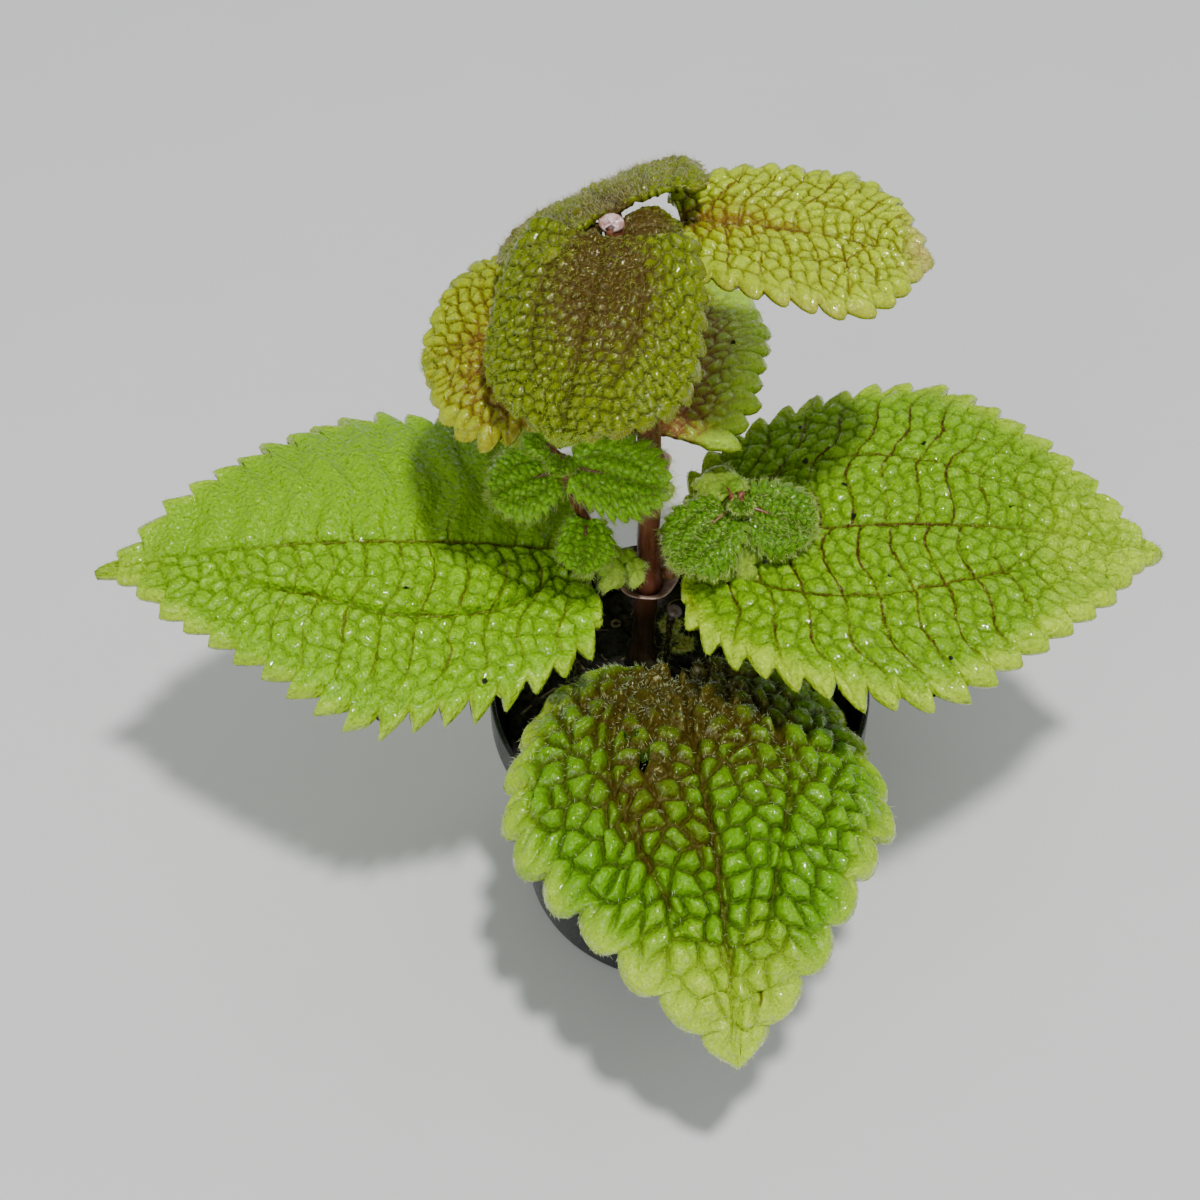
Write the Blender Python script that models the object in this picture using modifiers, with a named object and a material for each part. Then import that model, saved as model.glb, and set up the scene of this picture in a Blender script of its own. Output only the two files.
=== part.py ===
# A friendship plant in a small nursery pot.
# The pot stands on z = 0 with its axis on the origin, the large front leaf points along -Y.
# All lengths below are in millimetres and are turned into metres when a mesh is made.

import math

import bmesh
import bpy
import numpy as np
from mathutils import Vector

MM = 0.001
GAP = 0.35  # air left between pieces that touch on the real plant
WELD_DISTANCE = 0.01

POT_HEIGHT = 62.0
POT_RIM_RADIUS = 38.0
POT_BOTTOM_RADIUS = 31.5
POT_WALL = 1.2
POT_FLOOR = 1.5
POT_LIP_HEIGHT = 8.0
POT_LIP_OVERHANG = 1.6
POT_WALL_TOP_RADIUS = POT_RIM_RADIUS - POT_LIP_OVERHANG
POT_SEGMENTS = 40
DRAIN_HOLES = 6
DRAIN_RADIUS = 3.5
DRAIN_RING_RADIUS = 19.0

SOIL_TOP = 52.0
SOIL_RINGS = 9
SOIL_SEGMENTS = 32
SOIL_LUMP = 0.9

STEM_RADIUS = 2.6
STEM_FOOT_Z = 30.0
STEM_TOP_Z = 172.0
STEM_SIDES = 10
NODE_HEIGHTS = (57.0, 81.0, 114.0, 155.0)
NODE_SWELLING = 0.8
COLLAR_Z = 79.0
COLLAR_FLARE = 1.5

BASE_SHOOT_FOOT = (-2.6, 10.6)
BASE_SHOOT_FOOT_Z = 46.0
BASE_SHOOT_RADIUS = 0.8

BUD_RADIUS = 1.5
BUD_STRETCH = (1.15, 0.8, 1.35)

BLADE_THICKNESS = 0.9
DOME_HEIGHT = 0.8
VEIN_DEPTH = 0.35
BLADE_COLUMNS = 10
YOUNG_BLADE_COLUMNS = 8
SHOOT_BLADE_COLUMNS = 4
TIP_HALF_WIDTH = 0.6
SWEEP = 0.25  # how far the rows of the blade bend towards the tip at the margin

LEAF_GREEN = (0.16, 0.36, 0.03, 1.0)
YOUNG_GREEN = (0.22, 0.30, 0.04, 1.0)
STEM_BROWN = (0.13, 0.035, 0.018, 1.0)
BUD_PINK = (0.55, 0.32, 0.28, 1.0)
POT_BLACK = (0.012, 0.013, 0.016, 1.0)
SOIL_BLACK = (0.018, 0.013, 0.010, 1.0)


def clear_scene():
    for thing in list(bpy.data.objects):
        bpy.data.objects.remove(thing, do_unlink=True)


def new_collection(name):
    collection = bpy.data.collections.new(name)
    bpy.context.scene.collection.children.link(collection)
    return collection


def plain_material(name, colour, roughness):
    material = bpy.data.materials.new(name)
    material.use_nodes = True
    shader = material.node_tree.nodes["Principled BSDF"]
    shader.inputs["Base Color"].default_value = colour
    shader.inputs["Roughness"].default_value = roughness
    shader.inputs["Metallic"].default_value = 0.0
    return material


def mesh_object(name, points, faces, collection):
    mesh = bpy.data.meshes.new(name)
    scaled = np.asarray(points, dtype=float) * MM
    mesh.from_pydata([tuple(p) for p in scaled], [], [tuple(int(i) for i in f) for f in faces])
    mesh.validate()
    mesh.update()
    made = bpy.data.objects.new(name, mesh)
    collection.objects.link(made)
    return made


def weld_and_turn_outward(thing):
    """Closes the seams of a mesh and turns its faces outward."""
    work = bmesh.new()
    work.from_mesh(thing.data)
    bmesh.ops.remove_doubles(work, verts=work.verts, dist=WELD_DISTANCE * MM)
    bmesh.ops.recalc_face_normals(work, faces=work.faces)
    work.to_mesh(thing.data)
    work.free()


def move_to(thing, collection):
    for owner in list(thing.users_collection):
        owner.objects.unlink(thing)
    collection.objects.link(thing)


def shade_smooth(thing):
    for face in thing.data.polygons:
        face.use_smooth = True


def apply_modifiers(thing):
    depsgraph = bpy.context.evaluated_depsgraph_get()
    mesh = bpy.data.meshes.new_from_object(thing.evaluated_get(depsgraph))
    thing.modifiers.clear()
    thing.data = mesh


def join_solids(thing, others):
    """Fuses the other solids into the first one."""
    group = bpy.data.collections.new(thing.name + " pieces")
    bpy.context.scene.collection.children.link(group)
    for other in others:
        for owner in list(other.users_collection):
            owner.objects.unlink(other)
        group.objects.link(other)
    fuse = thing.modifiers.new("fuse", "BOOLEAN")
    fuse.operation = "UNION"
    fuse.operand_type = "COLLECTION"
    fuse.collection = group
    fuse.solver = "EXACT"
    apply_modifiers(thing)
    for other in others:
        bpy.data.objects.remove(other, do_unlink=True)
    bpy.data.collections.remove(group)


def cut_away(thing, cutters):
    """Cuts each cutter out of the solid and keeps the cutters hidden."""
    for cutter in cutters:
        cut = thing.modifiers.new("cut", "BOOLEAN")
        cut.operation = "DIFFERENCE"
        cut.object = cutter
        cut.solver = "MANIFOLD"
        apply_modifiers(thing)
        cutter.hide_render = True
        cutter.display_type = "WIRE"


def upright_cylinder(name, x, y, low, high, radius, collection, sides=20):
    bpy.ops.mesh.primitive_cylinder_add(vertices=sides, radius=radius * MM, depth=(high - low) * MM)
    made = bpy.context.active_object
    made.name = name
    made.location = (x * MM, y * MM, (low + high) / 2 * MM)
    move_to(made, collection)
    return made


def tube(name, path, radii, sides, collection):
    """A closed round tube along a path: a curve with its own radius at every point, made a mesh."""
    curve = bpy.data.curves.new(name, "CURVE")
    curve.dimensions = "3D"
    curve.bevel_depth = MM
    curve.bevel_resolution = (sides - 4) // 2
    curve.use_fill_caps = True
    spline = curve.splines.new("POLY")
    spline.points.add(len(path) - 1)
    for point, place, radius in zip(spline.points, path, radii):
        point.co = (*(Vector(place) * MM), 1.0)
        point.radius = radius
    guide = bpy.data.objects.new(name + " curve", curve)
    collection.objects.link(guide)
    depsgraph = bpy.context.evaluated_depsgraph_get()
    mesh = bpy.data.meshes.new_from_object(guide.evaluated_get(depsgraph))
    made = bpy.data.objects.new(name, mesh)
    made.matrix_world = guide.matrix_world
    collection.objects.link(made)
    bpy.data.objects.remove(guide, do_unlink=True)
    weld_and_turn_outward(made)
    return made


def blade_half_width(u, leaf):
    """Half the blade's width at u, which runs from 0 at the stalk to 1 at the tip."""
    rise = np.clip(u / leaf["widest"], 0, 1)
    round_base = leaf["base_share"] + (1 - leaf["base_share"]) * np.sqrt(1 - (1 - rise) ** 2)
    fall = np.clip((u - leaf["widest"]) / (1 - leaf["widest"]), 0, 1)
    to_tip = 1 - fall ** leaf["taper"]
    widest = leaf["width"] / 2
    return TIP_HALF_WIDTH + np.where(u < leaf["widest"], round_base, to_tip) * (widest - TIP_HALF_WIDTH)


def blade_flat(u, v, leaf):
    """Places along and across the flat blade, v runs from -1 to 1 across it."""
    across = v * blade_half_width(u, leaf)
    lobe = -leaf["lobe"] * np.abs(v) ** 1.6 * (1 - u) ** 4
    bend = SWEEP * np.abs(across) ** 1.5 / math.sqrt(leaf["width"] / 2) * (1 - u) ** 0.3
    return leaf["length"] * u + lobe + bend * (1 - (1 - u) ** 6), across


def blade_in_space(along, across, height, leaf):
    """Bends the flat blade along its midrib and across it, height is measured off its upper face."""
    length = leaf["length"]
    steps = np.linspace(-0.3, 1.3, 161)
    share = np.clip(steps, 0, 1)
    pitch = np.radians(leaf["pitch"] + (leaf["pitch_tip"] - leaf["pitch"]) * share)
    azimuth = math.radians(leaf["azimuth"])
    run = np.stack([np.cos(pitch) * math.cos(azimuth), np.cos(pitch) * math.sin(azimuth), np.sin(pitch)], 1)
    rib = np.vstack([[0, 0, 0], np.cumsum((run[1:] + run[:-1]) / 2 * (steps[1] - steps[0]) * length, axis=0)])
    rib_start = np.array([np.interp(0, steps, rib[:, k]) for k in range(3)])
    rib = rib - rib_start + np.array(leaf["base"], dtype=float)
    s = along / length
    middle = np.stack([np.interp(s, steps, rib[:, k]) for k in range(3)], axis=-1)
    forward = np.stack([np.interp(s, steps, run[:, k]) for k in range(3)], axis=-1)
    forward = forward / np.linalg.norm(forward, axis=-1, keepdims=True)
    right = np.array([math.sin(azimuth), -math.cos(azimuth), 0.0]) * np.ones_like(forward)
    above = np.cross(right, forward)
    roll = math.radians(leaf["roll"])
    side = right * math.cos(roll) + above * math.sin(roll)
    normal = np.cross(side, forward)
    first = math.radians(leaf["fold"])
    turn_rate = (math.radians(leaf["droop"]) - first) / (leaf["width"] / 2)
    distance = np.abs(across)
    sign = np.sign(across)
    lean = first + turn_rate * distance
    out = (np.sin(lean) - math.sin(first)) / turn_rate
    lift = -(np.cos(lean) - math.cos(first)) / turn_rate
    place = middle + side * (sign * out)[..., None] + normal * lift[..., None]
    surface = normal * np.cos(lean)[..., None] - side * (sign * np.sin(lean))[..., None]
    return place + surface * height[..., None]


def toothed_grid(leaf, columns):
    """Rows and columns over the blade, two rows to a tooth, the outer columns cut into teeth."""
    teeth = leaf["teeth"]
    starts = np.arange(teeth) / teeth
    rows = np.sort(np.concatenate([starts, starts + 0.6 / teeth, [1.0]]))
    is_point = np.zeros(len(rows))
    is_point[1:-1:2] = 1.0
    u, v = np.meshgrid(rows, np.linspace(-1, 1, columns + 1), indexing="ij")
    along, across = blade_flat(u, v, leaf)
    share = blade_half_width(u, leaf) / (leaf["width"] / 2)
    bite = leaf["tooth"] * (0.4 + 0.6 * share) * is_point[:, None] * (np.abs(v) > 0.99)
    along = along + bite * 0.6
    across = across + np.sign(v) * bite * 0.7
    return u, v, along, across


def dome_relief(u, v, columns):
    """Raised domes in a chequer between sunken veins, as heights over the flat blade."""
    row, column = np.indices(u.shape)
    half = columns // 2
    steps_out = np.abs(column - half)
    dome = ((row + column) % 2 == 0) * DOME_HEIGHT
    vein = (steps_out == 0) | ((steps_out == 2) & (half > 2))
    edge = steps_out == half
    relief = np.where(vein, -VEIN_DEPTH, dome)
    return np.where(edge, 0.0, relief) * np.clip((1 - u) * 6, 0, 1)


def blade(name, leaf, columns, collection):
    """The toothed blade: its upper face as a bent grid, which is given its thickness below."""
    u, v, along, across = toothed_grid(leaf, columns)
    relief = dome_relief(u, v, columns) * leaf["relief"]
    upper = blade_in_space(along, across, relief, leaf)
    rows, wide = u.shape
    faces = []
    for i in range(rows - 1):
        for j in range(wide - 1):
            a = i * wide + j
            b = a + 1
            c = a + wide + 1
            d = a + wide
            faces += [(a, b, c), (a, c, d)] if (i + j) % 2 else [(a, b, d), (b, c, d)]
    made = mesh_object(name, upper.reshape(-1, 3), faces, collection)
    shell = made.modifiers.new("thickness", "SOLIDIFY")
    shell.thickness = BLADE_THICKNESS * MM
    shell.offset = -1.0
    apply_modifiers(made)
    weld_and_turn_outward(made)
    return made


def leaf_shape(base, azimuth, length, width, pitch, pitch_tip, **more):
    """The numbers that shape one leaf, with the habits of this plant where none are given."""
    leaf = {
        "base": base,
        "azimuth": azimuth,
        "length": length,
        "width": width,
        "pitch": pitch,
        "pitch_tip": pitch_tip,
        "roll": 0.0,
        "fold": 8.0,
        "droop": -25.0,
        "widest": 0.36,
        "base_share": 0.3,
        "taper": 1.3,
        "lobe": 5.0,
        "teeth": 18,
        "tooth": 3.0,
        "relief": 1.0,
        "stalk": 1.3,
    }
    leaf.update(more)
    return leaf


def stem_axis(z):
    """The middle of the main stem at a height."""
    heights = (STEM_FOOT_Z, 52.0, 81.0, 117.0, 135.0, 155.0, 172.0)
    x = np.interp(z, heights, (-7.6, -7.6, -6.4, -6.7, -7.5, -10.5, -13.8))
    y = np.interp(z, heights, (11.7, 11.7, 11.7, 11.7, 11.7, 11.9, 11.6))
    return float(x), float(y)


def stem_radius(z):
    slim = STEM_RADIUS * float(np.interp(z, (52.0, 150.0, STEM_TOP_Z), (1.0, 0.9, 0.7)))
    swell = sum(math.exp(-((z - n) / 2.5) ** 2) for n in NODE_HEIGHTS)
    collar = COLLAR_FLARE * math.exp(-((z - COLLAR_Z) / 0.9) ** 2)
    return slim + NODE_SWELLING * swell + collar


def main_stem(collection):
    heights = [STEM_FOOT_Z, 44.0, 52.0]
    for n in NODE_HEIGHTS:
        heights += [n - 4.0, n - 2.0, n, n + 2.0, n + 4.0]
    heights += [COLLAR_Z - 0.9, COLLAR_Z + 0.9, 98.0, 128.0, 141.0, 165.0, STEM_TOP_Z]
    heights = sorted(set(heights))
    path = [(*stem_axis(z), z) for z in heights]
    radii = [stem_radius(z) if z > SOIL_TOP + 1 else STEM_RADIUS for z in heights]
    stem = tube("main_stem", path, radii, STEM_SIDES, collection)
    shade_smooth(stem)
    return stem


def stalk_path(z, leaf, reach=0.22):
    """From the stem's side at height z, out and up to the blade's base, then under the midrib."""
    x, y = stem_axis(z)
    base = Vector(leaf["base"])
    way = Vector((base.x - x, base.y - y, 0.0)).normalized()
    start = Vector((x, y, z)) + way * (stem_radius(z) + GAP)
    depth = -(BLADE_THICKNESS * 0.5 + leaf["stalk"])
    under = np.array([0.03, reach * 0.5, reach]) * leaf["length"]
    depths = np.array([depth, depth * 0.8, -BLADE_THICKNESS * 0.5 - leaf["stalk"] * 0.35])
    ends = blade_in_space(under, np.zeros(3), depths, leaf)
    second = start + way * 1.2
    middle = second.lerp(Vector(ends[0]), 0.55)
    path = [start, second, middle] + [Vector(p) for p in ends]
    shares = (1.0, 1.0, 0.95, 0.9, 0.7, 0.35)
    return path, [leaf["stalk"] * s for s in shares]


def stalked_leaf(name, z, leaf, material, collection, columns=BLADE_COLUMNS):
    """A blade and its stalk fused into one solid."""
    made = blade(name, leaf, columns, collection)
    path, radii = stalk_path(z, leaf)
    stalk = tube(name + " stalk", path, radii, 6, collection)
    join_solids(made, [stalk])
    made.data.materials.clear()
    made.data.materials.append(material)
    shade_smooth(made)
    return made


def small_leaf_stalk(start, leaf, name, collection):
    """A short stalk from a point inside the shoot's stem to just past the small blade's base."""
    along = np.array([0.05, 0.3]) * leaf["length"]
    depth = np.array([-BLADE_THICKNESS * 0.5, -BLADE_THICKNESS * 0.5 - leaf["stalk"] * 0.2])
    ends = blade_in_space(along, np.zeros(2), depth, leaf)
    path = [Vector(start), Vector(ends[0]), Vector(ends[1])]
    return tube(name, path, [leaf["stalk"], leaf["stalk"] * 0.9, leaf["stalk"] * 0.5], 6, collection)


def leafy_shoot(name, path, radii, leaves, material, collection):
    """A side shoot: its stem and small leaves fused into one solid."""
    shoot = tube(name, path, radii, 6, collection)
    pieces = []
    for i, (joint, leaf) in enumerate(leaves):
        pieces.append(blade(f"{name} blade {i}", leaf, SHOOT_BLADE_COLUMNS, collection))
        pieces.append(small_leaf_stalk(joint, leaf, f"{name} stalk {i}", collection))
    join_solids(shoot, pieces)
    shoot.data.materials.clear()
    shoot.data.materials.append(material)
    shade_smooth(shoot)
    return shoot


def pot_profile():
    """Radius and height from the floor's middle up the inside, over the lip and down the outside."""
    lip_low = POT_HEIGHT - POT_LIP_HEIGHT
    inner_low = POT_BOTTOM_RADIUS - POT_WALL
    inner_high = POT_WALL_TOP_RADIUS - POT_WALL
    return [
        (0.0, POT_FLOOR),
        (inner_low - 0.8, POT_FLOOR),
        (inner_low, POT_FLOOR + 0.8),
        (inner_high, lip_low - 0.8),
        (POT_RIM_RADIUS - POT_WALL - 0.2, lip_low + 0.6),
        (POT_RIM_RADIUS - POT_WALL, POT_HEIGHT - 0.6),
        (POT_RIM_RADIUS - 0.6, POT_HEIGHT),
        (POT_RIM_RADIUS, POT_HEIGHT - 0.8),
        (POT_RIM_RADIUS - 0.1, lip_low),
        (POT_WALL_TOP_RADIUS, lip_low - 0.8),
        (POT_BOTTOM_RADIUS, 1.0),
        (POT_BOTTOM_RADIUS - 1.0, 0.0),
        (0.0, 0.0),
    ]


def turned(name, profile, segments, collection):
    """A solid turned round the Z axis from a profile that starts and ends on the axis."""
    mesh = bpy.data.meshes.new(name)
    edges = [(i, i + 1) for i in range(len(profile) - 1)]
    mesh.from_pydata([(radius * MM, 0.0, z * MM) for radius, z in profile], edges, [])
    made = bpy.data.objects.new(name, mesh)
    collection.objects.link(made)
    screw = made.modifiers.new("turn", "SCREW")
    screw.angle = 2 * math.pi
    screw.steps = segments
    screw.render_steps = segments
    screw.use_merge_vertices = True
    screw.merge_threshold = WELD_DISTANCE * MM
    apply_modifiers(made)
    weld_and_turn_outward(made)
    return made


def pot(material, collection, cutters):
    made = turned("pot", pot_profile(), POT_SEGMENTS, collection)
    holes = []
    for i in range(DRAIN_HOLES):
        t = 2 * math.pi * i / DRAIN_HOLES
        x = DRAIN_RING_RADIUS * math.cos(t)
        y = DRAIN_RING_RADIUS * math.sin(t)
        holes.append(upright_cylinder(f"drain cutter {i}", x, y, -2.0, 5.0, DRAIN_RADIUS, cutters, 12))
    cut_away(made, holes)
    made.data.materials.clear()
    made.data.materials.append(material)
    shade_smooth(made)
    return made


def soil_height(x, y):
    lumps = math.sin(0.42 * x + 0.9) * math.cos(0.37 * y - 0.4) + 0.6 * math.sin(0.83 * x - 0.61 * y)
    return SOIL_TOP + SOIL_LUMP * 0.6 * lumps


def soil_profile():
    """Radius and height from the middle of the top outward, down beside the pot's wall and back."""
    low = POT_FLOOR + GAP
    shoulder = SOIL_TOP - 1.0
    inner_low = POT_BOTTOM_RADIUS - POT_WALL
    inner_high = POT_WALL_TOP_RADIUS - POT_WALL
    wall_foot = POT_FLOOR + 0.8
    wall_top = POT_HEIGHT - POT_LIP_HEIGHT - 0.8
    wall_share = (shoulder - wall_foot) / (wall_top - wall_foot)
    top_radius = inner_low + (inner_high - inner_low) * wall_share - GAP - 0.15
    rings = [((top_radius - 0.8) * i / (SOIL_RINGS - 1), SOIL_TOP) for i in range(SOIL_RINGS)]
    return rings + [(top_radius, shoulder), (inner_low - 0.8 - GAP, low), (0.0, low)]


def soil(material, collection, cutters):
    made = turned("soil", soil_profile(), SOIL_SEGMENTS, collection)
    for vertex in made.data.vertices:
        x, y, z = vertex.co / MM
        if z > SOIL_TOP - 0.5:
            vertex.co.z = soil_height(x, y) * MM
    x, y = stem_axis(SOIL_TOP)
    foot = STEM_FOOT_Z - GAP
    above = SOIL_TOP + 18.0
    stem_hole = upright_cylinder("stem hole cutter", x, y, foot, above, STEM_RADIUS + GAP, cutters)
    x, y = BASE_SHOOT_FOOT
    foot = BASE_SHOOT_FOOT_Z - GAP
    radius = BASE_SHOOT_RADIUS + GAP
    shoot_hole = upright_cylinder("shoot hole cutter", x, y, foot, above, radius, cutters, 10)
    cut_away(made, [stem_hole, shoot_hole])
    made.data.materials.clear()
    made.data.materials.append(material)
    return made


def crown_bud(material, collection):
    bpy.ops.mesh.primitive_uv_sphere_add(segments=12, ring_count=8, radius=BUD_RADIUS * MM)
    bud = bpy.context.active_object
    bud.name = "crown_bud"
    bud.data.name = "crown_bud"
    move_to(bud, collection)
    bud.scale = BUD_STRETCH
    x, y = stem_axis(STEM_TOP_Z)
    middle = STEM_TOP_Z + GAP + BUD_RADIUS * BUD_STRETCH[2] + 0.075
    bud.location = (x * MM, y * MM, middle * MM)
    bud.data.materials.append(material)
    shade_smooth(bud)
    return bud


def big_leaves(material, collection):
    front = leaf_shape((-1, -1.5, 65), -82, 87, 74, 28, -57, roll=2, droop=-32, widest=0.35,
                       base_share=0.25, taper=1.2)
    left = leaf_shape((-21, 13, 87), 184, 94, 76, 15, -13, roll=4, droop=-31, taper=1.2)
    right = leaf_shape((5, 13, 89), -2, 90, 78, 20, -19, roll=-1, droop=-18, taper=1.45,
                       base_share=0.2)
    back = leaf_shape((-11.5, 18, 115), 90, 72, 53, 4, -28, roll=4, base_share=0.6, taper=1.6,
                      widest=0.42, lobe=3, teeth=15)
    stalked_leaf("leaf_front", 57.0, front, material, collection)
    stalked_leaf("leaf_left", 82.0, left, material, collection)
    stalked_leaf("leaf_right", 82.0, right, material, collection)
    stalked_leaf("leaf_back", 113.0, back, material, collection)


def upper_leaves(material, collection):
    left = leaf_shape((-17, 13, 150), 182, 33, 41, -7, -32, roll=5, droop=-20, base_share=0.4,
                      widest=0.5, taper=2.0, lobe=3, teeth=12, tooth=1.8, relief=0.8, stalk=1.0)
    right = leaf_shape((-2, 23, 163), -8, 45, 38, 5, -15, roll=5, droop=-8, widest=0.54,
                       taper=1.7, lobe=3, teeth=13, tooth=1.8, relief=0.8, stalk=1.0)
    stalked_leaf("leaf_upper_left", 153.0, left, material, collection, YOUNG_BLADE_COLUMNS)
    stalked_leaf("leaf_upper_right", 156.0, right, material, collection, YOUNG_BLADE_COLUMNS)


def crown_leaves(material, collection):
    front = leaf_shape((-15, 7, 172), -106, 35, 41, -28, -50, roll=-5, droop=-40, base_share=0.57,
                       widest=0.35, taper=2.0, lobe=2, teeth=12, tooth=1.2, relief=0.6, stalk=0.9)
    back = leaf_shape((-13, 16, 172.5), 110, 33, 38, -24, -54, roll=16, droop=-15, fold=2.0,
                      base_share=0.6, widest=0.42, taper=1.8, lobe=2, teeth=12, tooth=1.2,
                      relief=0.6, stalk=0.9)
    stalked_leaf("leaf_crown_front", 168.0, front, material, collection, YOUNG_BLADE_COLUMNS)
    stalked_leaf("leaf_crown_back", 168.5, back, material, collection, YOUNG_BLADE_COLUMNS)


def small_leaf(base, azimuth, length, width, pitch, pitch_tip, roll=0.0):
    return leaf_shape(base, azimuth, length, width, pitch, pitch_tip, roll=roll, base_share=0.35,
                      widest=0.45, taper=1.8, lobe=0.06 * length, teeth=6, tooth=0.05 * length,
                      relief=0.03 * length, stalk=0.6)


def left_shoot(material, collection):
    path = [(-10.5, 10.2, 84.0), (-13.0, 9.6, 88.0), (-18.0, 9.0, 99.0), (-22.0, 9.2, 110.0),
            (-22.8, 9.5, 118.0)]
    leaves = [
        ((-22.3, 9.3, 114.0), small_leaf((-24.5, 9.7, 113.5), 188, 14, 15, -10, -35, 25)),
        ((-22.5, 9.4, 117.0), small_leaf((-20.6, 6.2, 118.4), -18, 19, 15, 4, -10, -48)),
        ((-16.0, 9.2, 94.5), small_leaf((-17.5, 7.0, 95.5), -100, 8, 8, -20, -45)),
        ((-14.6, 9.3, 92.0), small_leaf((-12.0, 6.0, 92.5), -75, 7, 6, -25, -50)),
        ((-22.7, 9.5, 117.4), small_leaf((-24.5, 11.0, 118.4), 135, 7, 8, 12, -5)),
    ]
    return leafy_shoot("shoot_left", path, [1.2, 1.2, 1.1, 1.0, 0.7], leaves, material, collection)


def right_shoot(material, collection):
    path = [(-2.4, 10.2, 84.0), (0.0, 9.6, 87.5), (5.5, 9.0, 97.0), (10.0, 9.6, 103.0), (10.8, 9.9, 107.5)]
    leaves = [
        ((9.8, 9.5, 102.6), small_leaf((7.8, 8.0, 103.5), 218, 15, 17, -15, -45, 5)),
        ((10.2, 9.6, 103.6), small_leaf((12.2, 9.0, 103.8), -18, 14, 15, -5, -28, -25)),
        ((10.0, 9.6, 103.0), small_leaf((9.0, 12.5, 104.0), 118, 9, 10, 5, -20)),
        ((7.5, 9.2, 99.8), small_leaf((10.5, 6.5, 100.0), -72, 9, 7, -20, -40)),
    ]
    return leafy_shoot("shoot_right", path, [1.2, 1.2, 1.1, 1.0, 0.6], leaves, material, collection)


def base_shoot(material, collection):
    x, y = BASE_SHOOT_FOOT
    path = [(x, y, BASE_SHOOT_FOOT_Z), (x, y, 54.0), (x + 0.4, y + 0.2, 62.0), (x + 1.0, y + 0.2, 70.0)]
    leaves = [
        ((x + 0.2, y + 0.1, 60.0), small_leaf((x + 1.2, y + 0.4, 61.0), 15, 5, 4.5, 10, -20)),
        ((x + 0.3, y + 0.1, 63.0), small_leaf((x + 0.6, y + 1.4, 64.0), 80, 5, 4.5, 10, -20)),
    ]
    return leafy_shoot("shoot_base", path, [BASE_SHOOT_RADIUS, 0.7, 0.6, 0.9], leaves, material, collection)


def build():
    clear_scene()
    plant = new_collection("friendship plant")
    cutters = new_collection("cutters")
    leaf_green = plain_material("leaf green", LEAF_GREEN, 0.45)
    young_green = plain_material("young leaf green", YOUNG_GREEN, 0.5)
    stem_brown = plain_material("stem brown", STEM_BROWN, 0.4)
    bud_pink = plain_material("bud pink", BUD_PINK, 0.25)
    pot_black = plain_material("pot black", POT_BLACK, 0.3)
    soil_black = plain_material("soil black", SOIL_BLACK, 0.9)
    pot(pot_black, plant, cutters)
    soil(soil_black, plant, cutters)
    stem = main_stem(plant)
    stem.data.materials.append(stem_brown)
    big_leaves(leaf_green, plant)
    upper_leaves(young_green, plant)
    crown_leaves(young_green, plant)
    crown_bud(bud_pink, plant)
    left_shoot(leaf_green, plant)
    right_shoot(leaf_green, plant)
    base_shoot(young_green, plant)


build()
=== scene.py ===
# %% [markdown]
# # A friendship plant in its nursery pot
# This lesson dresses a plain model of a potted friendship plant. The plain model holds the size
# and place of every part. Here each part gets the form and finish that an eye expects: puckered
# leaves with toothed edges, brown veins, fine hairs, a fleshy stem, a plastic pot and damp soil.
# Lengths are written in millimetres and turned into metres only when a mesh is made.

# %% Load the plain model
import math

import bmesh
import bpy
import numpy as np
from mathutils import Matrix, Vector


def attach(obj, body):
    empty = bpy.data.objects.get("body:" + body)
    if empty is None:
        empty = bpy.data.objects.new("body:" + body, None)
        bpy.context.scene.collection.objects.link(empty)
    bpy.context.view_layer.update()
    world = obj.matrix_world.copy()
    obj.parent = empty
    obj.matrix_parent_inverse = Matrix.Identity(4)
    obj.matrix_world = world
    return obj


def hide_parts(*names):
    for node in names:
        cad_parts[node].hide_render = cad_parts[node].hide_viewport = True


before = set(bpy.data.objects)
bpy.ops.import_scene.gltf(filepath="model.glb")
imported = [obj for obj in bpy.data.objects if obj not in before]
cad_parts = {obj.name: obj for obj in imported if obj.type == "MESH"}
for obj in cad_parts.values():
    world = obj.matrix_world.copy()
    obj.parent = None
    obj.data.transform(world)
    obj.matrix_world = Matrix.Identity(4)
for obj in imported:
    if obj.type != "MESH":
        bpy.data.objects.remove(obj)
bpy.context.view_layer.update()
MM = 0.001

# %% [markdown]
# ## Camera
# The photograph looks down at about fifty degrees, from the side of the large hanging leaf. A long
# lens from half a metre away keeps the pot's sides nearly parallel, as they are in the photograph.

# %% Make the camera
CAMERA_PLACE = (-15.9, -295.8, 440.4)
CAMERA_ELEVATION = 50.0
LENS_MM = 72.0

camera_data = bpy.data.cameras.new("camera")
camera_data.lens = LENS_MM
camera_data.sensor_width = 36.0
camera_data.clip_start = 0.01
camera = bpy.data.objects.new("camera", camera_data)
camera.location = Vector(CAMERA_PLACE) * MM
camera.rotation_euler = (math.radians(90.0 - CAMERA_ELEVATION), 0.0, 0.0)
bpy.context.scene.collection.objects.link(camera)
bpy.context.scene.camera = camera
print("camera looks down at", CAMERA_ELEVATION, "degrees")

# %% [markdown]
# ## Shader helpers
# A node material is a small graph. These helpers add a node, wire a socket and do sums, so that
# the graphs below read like the recipe they stand for.


# %% Helpers that add a node or fill a socket
def add_node(tree, kind, **settings):
    """Adds a node. A setting that names a socket sets that socket, any other sets the node."""
    made = tree.nodes.new(kind)
    for name, value in settings.items():
        label = name.replace("_", " ").title()
        if hasattr(made, name):
            setattr(made, name, value)
        else:
            made.inputs[label].default_value = value
    return made


def wire(tree, source, target):
    tree.links.new(source, target)


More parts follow.
